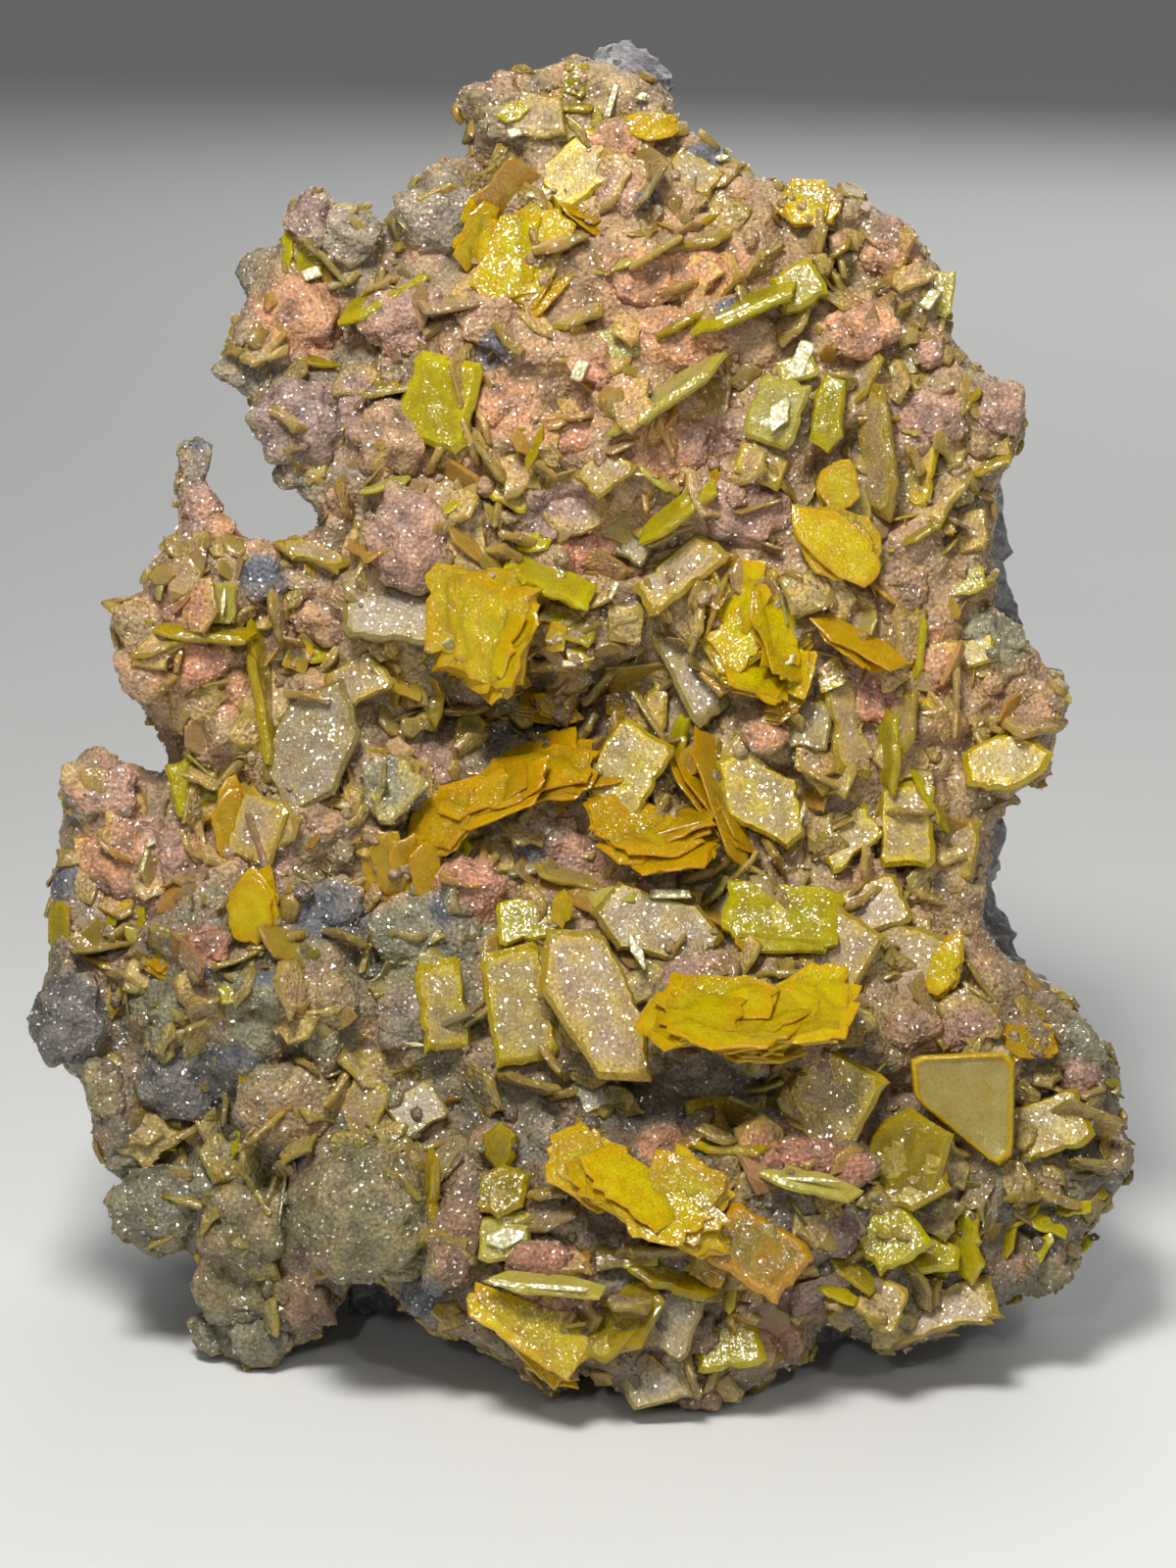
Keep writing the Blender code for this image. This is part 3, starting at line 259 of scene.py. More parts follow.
        (-9, 27.6, 1.8, 5.6, 4.4, 1.3, 80, 18, 4, LEAF),)),
    "wulfenite_bright_rectangle": ("pale", (
        (-8.4, 18.2, 2.4, 5.8, 4.8, 1.1, 8, 10, 6, SQUARE),)),
    "wulfenite_lower_right_plates": ("green", (
        (30.8, 18.2, 1.8, 7, 6.4, 1.3, 30, 22, 4, SQUARE),
        (38.8, 17.6, 1.8, 9.4, 4, 1.1, 92, 40, 0, BLADE),
        (34.8, 16.6, 1.2, 8, 5, 1.2, 5, 40, 0, BLADE),)),
    "wulfenite_front_blade": ("bright", (
        (-5.8, 8.5, 3.0, 15.2, 9.6, 1.5, -42, 20, 4, FIN),
        (-3.6, 5.6, 2.2, 8.0, 5.0, 1.3, -50, 34, 4, LEAF),)),
    "wulfenite_front_fan": ("olive", (
        (2.4, 8.8, 2.4, 9.4, 6, 1.2, 35, 40, 4, BLADE),
        (4.6, 10, 1.8, 8.4, 5.4, 1.2, 62, 30, 4, BLADE),)),
    "wulfenite_white_streak_blade": ("pale", (
        (-4, 13.4, 2, 13.2, 3.4, 1, -5, 58, 0, BLADE),)),
    "wulfenite_front_right_plate": ("green", (
        (14.2, 7.2, 2, 7, 5.4, 1.4, 12, 24, 4, SQUARE),)),
}

# Smaller crystals: x, y, how far it stands off, length, width, turn, lean, look, outline
SMALLER_CRYSTALS = (
    (-11.0, 122.7, 1.8, 5.0, 2.6, 75, -15, "bright", BLADE),
    (-4.9, 116.1, 0.9, 8.0, 5.0, 50, 20, "orange", SQUARE),
    (3.0, 109.3, 1.2, 4.2, 4.0, 20, 14, "pale", SQUARE),
    (13.0, 96.3, 1.0, 4.0, 1.2, 90, 30, "orange", BLADE),
    (6.9, 95.8, 1.0, 6.0, 3.4, -40, 62, "pale", LEAF),
    (-5.4, 98.7, 1.4, 5.5, 1.4, 68, 30, "olive", LEAF),
    (-14.4, 92.5, 1.6, 4.6, 2.0, 25, 50, "green", LEAF),
    (35.6, 114.7, 0.8, 5.0, 4.0, 80, 20, "pale", SQUARE),
    (31.8, 107.2, 1.0, 3.4, 3.0, 20, 15, "grey", SQUARE),
    (40.8, 97.0, 1.2, 6.2, 3.0, 22, 60, "olive", BLADE),
    (38.5, 103.4, 1.0, 5.0, 2.4, 45, 62, "olive", BLADE),
    (34.2, 90.2, 1.2, 5.4, 2.6, 30, 62, "olive", BLADE),
    (36.7, 90.7, 1.4, 1.8, 1.6, 0, 15, "bright", SQUARE),
    (13.0, 122.7, 1.0, 6.4, 3.2, 27, 66, "olive", BLADE),
    (2.8, 117.5, 1.2, 5.0, 3.0, 20, 60, "pale", BLADE),
    (9.5, 119.7, 1.0, 11.5, 4.0, 8, 68, "tan", BLADE),
    (-1.9, 133.5, 1.0, 6.0, 2.8, 0, 62, "olive", BLADE),
    (-7.7, 133.1, 1.0, 3.6, 2.6, 0, 20, "green", LEAF),
    (-1.4, 136.4, 0.8, 3.6, 3.0, 80, 20, "olive", SQUARE),
    (-0.2, 122.2, 1.2, 6.2, 3.0, -33, 60, "orange", BLADE),
    (10.9, 126.9, 1.0, 6.2, 4.2, -30, 22, "tan", SQUARE),
    (-28.6, 117.1, 1.6, 4.2, 3.2, 80, 18, "green", SQUARE),
    (-30.6, 119.4, 1.2, 4.4, 1.6, 88, 30, "green", BLADE),
    (-27.8, 107.6, 1.2, 5.2, 2.6, -15, 58, "olive", LEAF),
    (-24.4, 106.1, 1.4, 2.4, 1.0, 80, 20, "bright", LEAF),
    (-27.6, 97.8, 1.4, 5.6, 2.8, 85, 15, "tan", SQUARE),
    (-20.7, 95.0, 1.6, 5.8, 3.2, 15, 66, "pale", BLADE),
    (-21.2, 105.1, 1.0, 3.8, 2.8, 30, 30, "olive", SQUARE),
    (-28.0, 87.9, 1.6, 8.4, 3.4, -18, 40, "tan", BLADE),
    (-37.9, 83.2, 1.4, 4.8, 4.6, 85, 16, "pale", SQUARE),
    (-28.6, 78.1, 2.0, 5.2, 3.8, 10, 30, "green", SQUARE),
    (-29.6, 77.6, 2.4, 3.4, 2.8, 60, -10, "bright", SQUARE),
    (-4.2, 85.4, 2.2, 10.0, 4.6, -24, 48, "green", SQUARE),
    (-5.3, 89.2, 1.4, 4.4, 2.8, 10, 35, "green", LEAF),
    (-3.2, 79.6, 2.0, 3.0, 2.0, 70, 10, "bright", SQUARE),
    (-0.8, 77.4, 2.2, 2.8, 1.8, 5, 25, "bright", SQUARE),
    (-1.5, 80.4, 1.4, 5.2, 3.6, -20, 30, "green", SQUARE),
    (9.5, 86.0, 1.8, 11.0, 5.2, 38, 40, "tan", SQUARE),
    (13.0, 83.7, 2.2, 3.0, 2.6, 60, 10, "orange", SQUARE),
    (16.5, 82.4, 2.4, 8.0, 4.4, 82, 10, "green", BLADE),
    (14.5, 79.0, 2.8, 6.4, 4.6, -35, 24, "bright", BLADE),
    (14.8, 76.3, 3.2, 3.6, 3.2, 20, 16, "bright", SQUARE),
    (21.2, 76.2, 3.0, 5.0, 3.8, 80, 22, "bright", SQUARE),
    (19.8, 72.6, 2.6, 5.2, 3.6, 20, 34, "orange", LEAF),
    (22.0, 79.6, 2.2, 5.4, 2.8, 75, -10, "bright", LEAF),
    (24.8, 75.5, 2.0, 3.0, 2.6, 30, 14, "bright", SQUARE),
    (24.5, 73.2, 1.6, 4.2, 2.2, 75, 24, "olive", LEAF),
    (26.5, 70.5, 1.6, 12.0, 4.4, -82, 30, "tan", SQUARE),
    (22.8, 70.5, 1.4, 5.6, 4.4, 78, 18, "grey", SQUARE),
    (34.8, 72.5, 1.2, 3.2, 1.6, 0, 30, "bright", LEAF),
    (38.5, 85.0, 0.8, 5.0, 3.0, 15, 22, "pale", SQUARE),
    (32.5, 71.0, 1.4, 8.0, 3.4, 86, 66, "tan", BLADE),
    (34.8, 63.0, 1.4, 8.0, 3.0, -62, 64, "green", BLADE),
    (9.2, 68.6, 2.4, 7.4, 2.4, 80, 40, "green", BLADE),
    (10.4, 66.6, 2.8, 3.2, 2.6, 70, 10, "orange", LEAF),
    (7.0, 72.0, 1.6, 7.2, 2.6, 85, 30, "tan", BLADE),
    (3.5, 72.4, 0.8, 4.6, 3.6, -50, 20, "orange", LEAF),
    (-7.0, 73.2, 0.6, 12.0, 5.0, -5, 30, "orange", SQUARE),
    (-3.0, 72.2, 1.0, 6.0, 4.0, -30, 20, "orange", LEAF),
    (-15.7, 73.4, 1.6, 6.6, 3.0, 85, 20, "olive", LEAF),
    (-12.0, 70.0, 2.0, 5.2, 4.0, 70, 24, "olive", LEAF),
    (-12.8, 57.5, 1.6, 3.2, 2.0, 70, 20, "green", LEAF),
    (-6.0, 50.6, 2.0, 7.4, 5.0, 10, 24, "green", SQUARE),
    (-2.6, 51.8, 2.4, 4.2, 2.6, 80, 10, "bright", LEAF),
    (2.6, 53.0, 2.2, 5.2, 3.0, 15, 40, "pale", SQUARE),
    (29.0, 48.6, 1.8, 6.2, 3.0, -45, 60, "green", BLADE),
    (32.2, 45.8, 1.2, 9.4, 8.4, 60, 18, "tan", SQUARE),
    (16.8, 47.6, 1.6, 5.6, 3.0, -45, 35, "orange", BLADE),
    (-54.0, 50.0, 1.0, 6.0, 3.0, 86, 30, "olive", BLADE),
    (-48.6, 50.6, 1.2, 3.2, 1.8, 70, 30, "green", LEAF),
    (-46.6, 49.0, 1.4, 2.8, 1.6, 110, 20, "pale", LEAF),
    (-47.4, 51.6, 1.4, 2.6, 1.4, 50, 10, "bright", LEAF),
    (-45.6, 50.6, 1.2, 3.6, 1.4, 96, 30, "green", BLADE),
    (-48.2, 43.0, 1.4, 5.2, 2.2, 78, 30, "tan", BLADE),
    (-46.4, 43.6, 1.0, 4.4, 1.8, 96, 40, "green", BLADE),
    (-28.0, 65.4, 3.2, 5.4, 4.4, 30, 14, "bright", LEAF),
    (-33.6, 60.0, 2.0, 7.4, 6.2, 70, 26, "tan", SQUARE),
    (-43.4, 46.4, 1.0, 3.4, 3.0, 60, 24, "orange", SQUARE),
    (-36.0, 43.2, 1.2, 3.4, 2.2, 15, 20, "green", SQUARE),
    (-30.4, 40.0, 1.4, 3.0, 2.0, 30, 20, "green", LEAF),
    (-35.0, 34.0, 1.6, 4.6, 2.2, 80, 26, "olive", LEAF),
    (-26.3, 33.4, 1.4, 2.2, 1.8, 20, 20, "bright", LEAF),
    (-23.0, 31.6, 1.6, 6.4, 5.4, 60, 24, "tan", SQUARE),
    (-17.4, 31.2, 2.0, 5.6, 5.0, 30, 14, "grey", SQUARE),
    (-43.8, 28.2, 0.8, 4.0, 2.4, -10, 30, "green", SQUARE),
    (-36.0, 28.0, 1.0, 3.6, 1.4, 80, 30, "green", BLADE),
    (-16.0, 21.8, 2.2, 12.6, 2.6, 88, 58, "olive", BLADE),
    (-0.2, 33.2, 2.0, 7.4, 6.2, 20, 24, "grey", SQUARE),
    (-14.8, 41.6, 2.0, 10.0, 5.2, -82, 20, "druse", SQUARE),
    (14.3, 27.5, 1.8, 9.0, 3.6, -5, 64, "olive", BLADE),
    (45.0, 38.2, 1.0, 6.4, 4.4, 0, 30, "orange", SQUARE),
    (35.2, 17.2, 1.4, 6.0, 5.0, 70, 22, "olive", SQUARE),
    (36.0, 10.9, 1.6, 13.0, 5.6, 14, 28, "tan", SQUARE),
    (27.0, 14.6, 1.8, 6.4, 3.0, -35, 50, "olive", BLADE),
    (25.6, 12.4, 1.4, 5.0, 2.4, -20, 60, "green", BLADE),
    (30.3, 11.2, 1.2, 5.6, 4.2, 70, 16, "tan", SQUARE),
    (8.8, 13.7, 1.8, 10.0, 3.4, -18, 64, "olive", BLADE),
    (5.3, 16.2, 1.6, 4.0, 2.4, 5, 40, "pale", SQUARE),
    (8.6, 9.6, 2.0, 7.4, 5.8, 70, 18, "grey", SQUARE),
    (7.2, 3.8, 1.4, 7.4, 5.0, 15, 20, "grey", SQUARE),
    (14.6, 12.0, 1.6, 3.4, 1.2, 80, 20, "green", BLADE),
    (12.4, 16.0, 2.0, 4.6, 4.0, 60, 20, "orange", SQUARE),
    (12.4, 31.2, 1.8, 5.2, 3.4, 10, 30, "olive", SQUARE),
    (44.4, 20.4, 1.4, 4.4, 2.0, 30, 50, "green", LEAF),
    (47.0, 19.4, 1.6, 5.2, 2.2, -20, 50, "green", BLADE),
    (46.2, 16.8, 1.6, 4.6, 1.8, 60, 40, "green", BLADE),
    (49.6, 21.2, 1.2, 4.6, 2.0, 12, 50, "green", BLADE),
    (43.0, 18.2, 1.4, 5.0, 1.6, 80, 40, "olive", BLADE),
    (50.6, 17.6, 0.8, 3.4, 1.6, 40, 40, "green", LEAF),
    (52.0, 23.0, 0.8, 3.0, 1.8, -30, 40, "olive", BLADE),
    (28.2, 106.0, 1.0, 7.0, 4.0, 66, 60, "tan", BLADE),
    (12.2, 107.8, 1.2, 6.4, 3.6, 40, 62, "tan", BLADE),
    (-1.2, 112.2, 1.0, 7.0, 4.2, 20, 58, "tan", BLADE),
    (24.6, 118.6, 1.0, 6.0, 3.6, 35, 60, "tan", BLADE),
    (10.0, 111.8, 1.2, 8.4, 3.6, 30, 70, "olive", BLADE),
    (-8.0, 94.8, 1.2, 6.0, 4.6, -30, 24, "druse", SQUARE),
    (1.6, 96.2, 1.2, 5.8, 4.6, 40, 24, "tan", SQUARE),
    (5.4, 89.6, 1.4, 5.6, 4.0, 60, 24, "grey", SQUARE),
    (17.6, 97.0, 1.0, 6.0, 4.6, -20, 24, "tan", SQUARE),
    (33.6, 96.0, 1.0, 7.0, 4.4, 80, 28, "druse", SQUARE),
    (38.0, 78.6, 1.0, 7.6, 6.0, 20, 20, "druse", SQUARE),
    (26.6, 59.0, 1.4, 7.0, 5.0, 40, 24, "druse", SQUARE),
    (23.4, 66.2, 1.4, 6.4, 4.4, -50, 24, "tan", BLADE),
    (33.4, 78.4, 1.2, 8.0, 3.4, 84, 62, "green", BLADE),
    (30.4, 62.4, 1.4, 7.0, 3.0, 70, 62, "olive", BLADE),
    (37.6, 58.0, 1.0, 7.0, 5.0, 80, 20, "tan", SQUARE),
    (-23.4, 75.0, 1.4, 7.0, 5.0, 30, 24, "tan", SQUARE),
    (-44.0, 78.6, 1.2, 6.4, 3.4, 20, 58, "tan", BLADE),
)

# Flat clean faces that throw the key light at the viewer: x, y, stand-off, length, width, turn
GLINT_FACES = (
    (2.4, 134.2, 1.4, 4.2, 0.9, 75), (-5.0, 124.8, 2.4, 3.2, 1.7, 5), (-7.5, 131.0, 1.6, 1.7, 1.4, 20),
    (13.6, 128.4, 1.6, 1.8, 1.2, 0), (5.5, 134.7, 1.6, 1.6, 1.2, 10), (-0.9, 106.7, 2.4, 2.6, 1.9, 70),
    (21.7, 107.9, 2.6, 4.4, 2.4, 70), (19.6, 102.2, 2.8, 4.6, 3.4, 62), (14.8, 112.6, 2.4, 4.6, 0.8, 24),
    (10.2, 105.8, 3.4, 5.6, 1.0, 36), (21.9, 61.6, 3.6, 2.8, 0.7, 80), (8.3, 53.3, 4.2, 5.0, 1.4, -2),
    (5.0, 47.4, 4.6, 5.0, 1.6, -68), (-6.0, 46.8, 4.0, 3.0, 1.4, -20), (29.2, 33.8, 4.0, 2.6, 1.0, 75),
    (49.6, 28.8, 2.8, 5.4, 2.6, 28), (-8.5, 18.2, 3.6, 4.8, 3.6, 4), (-5.0, 13.2, 3.4, 11.0, 0.7, -6),
    (7.2, 11.0, 3.4, 2.6, 0.6, 65), (-37.2, 83.0, 2.2, 3.6, 0.8, 86), (-28.2, 116.6, 2.6, 2.2, 1.8, 20),
    (22.6, 24.1, 3.8, 7.0, 0.7, -8), (-1.9, 76.8, 3.2, 1.8, 1.0, 0), (20.6, 77.2, 4.2, 2.0, 1.2, 50),
    (34.9, 114.0, 1.8, 2.6, 1.8, 60), (31.6, 107.0, 1.8, 2.2, 1.4, 20), (33.0, 58.8, 2.6, 2.6, 1.0, 60),
    (14.9, 7.4, 2.8, 1.2, 1.0, 20), (-17.6, 37.9, 2.2, 2.4, 0.7, -10), (43.5, 66.9, 2.4, 1.6, 0.7, 20),
    (12.9, 87.8, 2.2, 2.2, 0.6, 50), (2.6, 84.2, 2.8, 2.2, 0.6, 70), (-44.6, 58.4, 2.6, 1.2, 0.6, 30),
)

# Lumps of mimetite: x, y, half-width, half-height, colour
LUMPS = (
    (-28.4, 122.9, 2.6, 2.4, "purple"), (-24.1, 120.3, 3.2, 3.0, "grey"),
    (-29.3, 112.4, 4.6, 4.2, "orange"), (-19.0, 111.9, 4.2, 3.6, "pink"),
    (-37.4, 105.1, 1.8, 1.6, "grey"), (-24.6, 103.4, 3.4, 2.8, "purple"),
    (-20.3, 99.9, 4.0, 3.8, "brown"), (-29.5, 101.5, 4.6, 4.4, "purple"),
    (-25.0, 93.5, 1.8, 1.6, "brown"), (-31.4, 94.8, 3.2, 2.6, "grey"),
    (-18.4, 89.4, 4.2, 5.4, "pink"), (-39.6, 97.2, 1.6, 3.0, "grey"), (-39.6, 92.4, 2.2, 2.8, "pink"),
    (-36.6, 91.0, 2.2, 2.2, "orange"), (-33.6, 88.8, 2.3, 2.3, "brown"),
    (-33.1, 85.6, 2.6, 2.4, "slate"), (-40.9, 81.9, 2.8, 2.4, "red"), (-46.4, 81.2, 2.2, 2.2, "tan"),
    (-39.6, 77.4, 3.0, 2.8, "red"), (-45.1, 75.9, 3.2, 3.0, "brown"), (-36.0, 73.8, 2.4, 2.2, "orange"),
    (-26.3, 81.9, 3.8, 3.0, "brown"), (-11.4, 76.7, 2.2, 2.0, "orange"), (-3.0, 92.2, 3.8, 2.8, "purple"),
    (0.3, 88.6, 2.6, 3.2, "red"), (-2.4, 100.0, 2.4, 2.0, "red"), (0.3, 106.7, 1.9, 1.8, "red"),
    (12.0, 117.0, 5.4, 3.0, "orange"), (5.5, 116.0, 4.0, 3.0, "orange"), (9.0, 110.0, 4.6, 3.0, "orange"),
    (30.9, 118.0, 3.0, 2.4, "orange"), (31.4, 121.4, 2.2, 2.0, "pink"), (42.0, 102.9, 3.0, 2.8, "pink"),
    (35.2, 108.6, 1.9, 1.8, "pink"), (15.8, 92.5, 4.6, 3.8, "pink"), (8.3, 99.1, 4.6, 3.2, "orange"),
    (13.4, 99.6, 3.4, 3.0, "pink"), (28.0, 111.0, 3.6, 3.0, "orange"), (34.6, 101.8, 4.0, 3.0, "pink"),
    (-9.0, 112.0, 4.0, 3.4, "brown"), (-1.0, 127.0, 2.0, 2.0, "brown"), (4.0, 125.0, 3.0, 2.4, "pink"),
    (-9.4, 137.0, 3.0, 2.4, "brown"), (3.4, 129.8, 3.2, 2.4, "orange"), (-15.1, 122.6, 4.4, 4.0, "grey"),
    (14.4, 125.0, 3.0, 2.0, "brown"), (-8.6, 103.0, 3.4, 3.0, "orange"), (-6.6, 109.0, 3.0, 2.6, "brown"),
    (18.0, 70.0, 2.4, 2.0, "orange"), (29.3, 73.5, 2.0, 3.0, "red"), (35.3, 77.0, 2.6, 3.4, "orange"),
    (32.0, 84.0, 2.8, 3.4, "brown"), (42.8, 76.3, 1.8, 1.6, "tan"), (45.4, 71.6, 2.2, 1.8, "brown"),
    (41.0, 79.2, 3.4, 3.0, "moss"), (-15.8, 66.0, 2.2, 2.2, "pink"), (-20.0, 64.0, 3.6, 3.4, "moss"),
    (-5.0, 58.6, 2.6, 2.4, "grey"), (-1.0, 57.6, 3.4, 2.8, "pink"), (-12.4, 53.6, 3.6, 3.4, "red"),
    (-13.4, 50.0, 2.0, 2.4, "red"), (11.5, 45.2, 4.6, 2.0, "pink"), (20.5, 56.2, 3.4, 1.6, "tan"),
    (29.0, 54.0, 3.6, 3.4, "brown"), (36.6, 53.6, 3.6, 5.0, "tan"), (-49.4, 64.4, 3.8, 3.2, "pink"),
    (-45.4, 56.0, 5.4, 4.8, "pink"), (-40.8, 56.4, 2.6, 2.8, "pink"), (-49.0, 57.6, 3.2, 3.2, "orange"),
    (-51.8, 65.6, 2.0, 1.8, "tan"), (-32.2, 57.4, 2.8, 2.4, "pink"), (-27.4, 61.2, 2.4, 1.8, "brown"),
    (-39.0, 48.0, 2.8, 2.0, "red"), (-26.2, 51.4, 4.0, 3.2, "slate"), (-16.6, 49.0, 5.6, 4.4, "moss"),
    (-26.0, 42.4, 2.2, 2.8, "tan"), (-30.4, 31.6, 5.2, 4.6, "tan"), (-41.0, 34.2, 5.0, 4.0, "slate"),
    (-53.0, 40.4, 4.0, 4.8, "slate"), (-50.0, 33.6, 2.2, 2.8, "olive"), (-37.6, 26.6, 2.4, 2.0, "olive"),
    (-43.6, 21.6, 5.4, 4.2, "moss"), (-48.0, 25.6, 2.6, 2.2, "moss"), (-34.2, 19.4, 4.4, 4.2, "olive"),
    (-23.0, 20.6, 6.8, 6.6, "olive"), (-35.6, 12.8, 4.4, 3.8, "olive"), (-33.6, 8.2, 3.2, 2.6, "moss"),
    (-38.0, 8.8, 2.6, 2.2, "moss"), (-28.2, 11.4, 3.2, 2.8, "brown"), (-13.6, 18.6, 2.6, 6.6, "brown"),
    (-17.2, 12.2, 2.4, 2.4, "slate"), (-18.6, 16.2, 3.0, 2.4, "olive"), (-4.6, 15.2, 4.2, 2.6, "red"),
    (-2.0, 12.2, 3.0, 2.0, "orange"), (7.6, 27.8, 2.6, 2.2, "orange"), (21.6, 26.2, 5.0, 2.2, "red"),
    (26.6, 25.4, 2.6, 2.0, "red"), (24.4, 18.6, 3.6, 2.8, "purple"), (16.6, 9.4, 2.0, 2.4, "orange"),
    (20.0, 7.6, 2.2, 2.0, "orange"), (11.4, 2.4, 2.2, 1.8, "brown"), (10.4, 8.6, 2.6, 2.6, "brown"),
    (50.4, 34.2, 2.4, 2.2, "pink"), (52.2, 39.0, 3.0, 3.2, "moss"), (54.0, 26.8, 1.8, 1.8, "tan"),
    (46.2, 23.2, 2.2, 1.8, "tan"), (33.2, 39.6, 2.8, 2.2, "brown"), (38.4, 39.8, 2.8, 2.4, "pink"),
    (12.6, 34.4, 5.4, 2.2, "grey"), (-5.0, 28.2, 2.6, 2.4, "grey"), (47.0, 14.2, 2.0, 1.6, "olive"),
    (39.0, 64.0, 4.0, 4.4, "tan"), (22.0, 12.4, 3.0, 2.4, "pink"), (-17.4, 40.4, 3.6, 3.0, "grey"),
)

# Bare spots of grey rock in the crust: x, y, half-width, half-height
GREY_SPOTS = (
    (-9.7, 108.7, 1.5, 2.0), (14.3, 112.9, 1.5, 1.0), (6.0, 124.7, 1.3, 1.1), (-8.8, 61.5, 1.2, 1.6),
    (-30.5, 26.4, 1.3, 1.2), (-39.8, 100.0, 1.4, 1.4), (-53.6, 55.2, 1.8, 2.4), (-27.0, 50.8, 2.0, 2.2),
    (-34.0, 45.0, 2.4, 1.0), (-40.0, 45.4, 1.4, 1.0), (-36.0, 36.6, 2.2, 1.2), (-5.8, 57.8, 1.4, 1.4),
    (-15.0, 51.6, 1.6, 1.6), (12.4, 128.6, 2.4, 1.2), (-16.6, 11.6, 1.4, 1.6), (-33.4, 86.4, 1.8, 1.4),
)

TRIANGLE_CORNERS = ((32.8, 36.8), (43.6, 37.3), (43.4, 26.6), (41.8, 25.4), (33.2, 32.4))
TRIANGLE_OUT = 5.2
TRIANGLE_TILT = (-0.062, 0.086)


def srgb(red, green, blue):
    """A colour given as 0 to 255 screen values, as linear values."""
    return tuple(((v / 255 + 0.055) / 1.055) ** 2.4 for v in (red, green, blue))


# Colours of the crystals: rim, face, and how much of the face a sugary coat covers
LOOKS = {
    "bright": (srgb(230, 184, 0), srgb(240, 210, 2), 0.0),
    "orange": (srgb(220, 166, 0), srgb(214, 172, 4), 0.0),
    "green": (srgb(204, 188, 14), srgb(184, 168, 30), 0.25),
    "pale": (srgb(208, 194, 84), srgb(200, 188, 112), 0.1),
    "olive": (srgb(190, 164, 12), srgb(160, 140, 34), 0.35),
    "druse": (srgb(200, 174, 22), srgb(166, 146, 90), 0.9),
    "tan": (srgb(186, 158, 52), srgb(168, 146, 110), 0.95),
    "grey": (srgb(166, 148, 84), srgb(160, 146, 122), 1.0),
    "brown": (srgb(216, 160, 4), srgb(160, 134, 30), 0.1),
}

# The clear rim of a plate that mimetite covers
COATED_RIM_COLOUR = srgb(206, 178, 62)

# Colours of the crust's field between the lumps, two of them darkened as painted shade
FIELD = srgb(168, 143, 84)
FIELD_ORANGE = srgb(192, 144, 90)
FIELD_BROWN = srgb(142, 118, 90)
FIELD_GREY = srgb(132, 122, 98)
FIELD_GREEN = srgb(134, 130, 84)
FIELD_OLIVE = srgb(140, 128, 70)
# Painted shade for the deep hollows of the front
FIELD_PAINTED_SHADE = srgb(84, 72, 48)
# Moss olive, darkened as painted shade for the dim lower right
FIELD_MOSS_PAINTED_SHADE = srgb(110, 100, 60)
# Where they lie: x, y, half-width, half-height, weight, colour
REGIONS = (
    (4, 108, 20, 16, 1.0, FIELD_ORANGE), (30, 104, 12, 14, 0.8, FIELD), (-30, 108, 11, 18, 1.2, FIELD_GREY),
    (-16, 124, 8, 8, 1.2, FIELD_GREY), (-38, 80, 12, 14, 0.8, FIELD_ORANGE), (-28, 66, 10, 10, 1, FIELD),
    (-50, 56, 8, 14, 1.4, FIELD_BROWN), (-46, 46, 8, 5, 1, FIELD_GREEN), (-36, 42, 12, 7, 1.6, FIELD_GREEN),
    (-18, 46, 8, 7, 1.4, FIELD_GREEN), (-54, 38, 6, 8, 1.4, FIELD_GREY), (-42, 30, 10, 8, 1.2, FIELD_GREY),
    # The darkest field is painted shade in the hollow by the curved spray and under the rosette; the moss
    # field is olive darkened as painted shade at the lower right
    (-38, 14, 14, 12, 1.6, FIELD_OLIVE), (-22, 20, 10, 10, 1.6, FIELD_OLIVE), (-6, 70, 12, 4, 2, FIELD_PAINTED_SHADE),
    (6, 31, 18, 4, 1.6, FIELD_PAINTED_SHADE), (12, 14, 20, 12, 1.2, FIELD_BROWN), (38, 14, 12, 10, 1.6, FIELD_MOSS_PAINTED_SHADE),
    (50, 26, 8, 14, 1.4, FIELD_MOSS_PAINTED_SHADE), (38, 66, 10, 22, 0.9, FIELD_ORANGE), (24, 52, 14, 8, 0.8, FIELD),
    (14, 66, 12, 10, 0.8, FIELD), (-4, 56, 10, 6, 0.8, FIELD_ORANGE), (0, 42, 10, 8, 0.8, FIELD),
)

# Colours of the lumps
LUMP_COLOURS = {
    "orange": srgb(202, 144, 92), "red": srgb(200, 134, 90), "pink": srgb(180, 136, 104),
    "brown": srgb(180, 138, 88), "purple": srgb(156, 124, 102), "grey": srgb(156, 138, 106),
    "tan": srgb(180, 148, 86), "olive": srgb(160, 142, 78), "moss": srgb(146, 138, 96),
    "slate": srgb(116, 106, 94),
}
GREY_SPOT = srgb(104, 101, 102)
# Painted shade: the crust's colour is darkened towards its foot. The share of its colour left there, and
# where that begins
PAINTED_FOOT_SHADE = 0.62
FOOT_BOTTOM = 15.0
FOOT_TOP = 68.0
# The pale bloom that the sugary coat lays over every colour
BLOOM = np.array((0.02, 0.03, 0.05))

# Places with few blades: x, y, half-width, half-height, share of blades taken away
BARE_PLACES = (
    (-48, 58, 9, 9, 0.85), (-38, 42, 12, 6, 0.7), (-38, 15, 14, 14, 0.85), (-22, 21, 9, 8, 0.9),
    (-30, 108, 9, 14, 0.6), (-22, 44, 8, 6, 0.6), (-13, 19, 4, 9, 0.6), (-54, 42, 6, 10, 0.8),
    (2, 112, 15, 9, 0.6), (8, 99, 13, 8, 0.5),
)

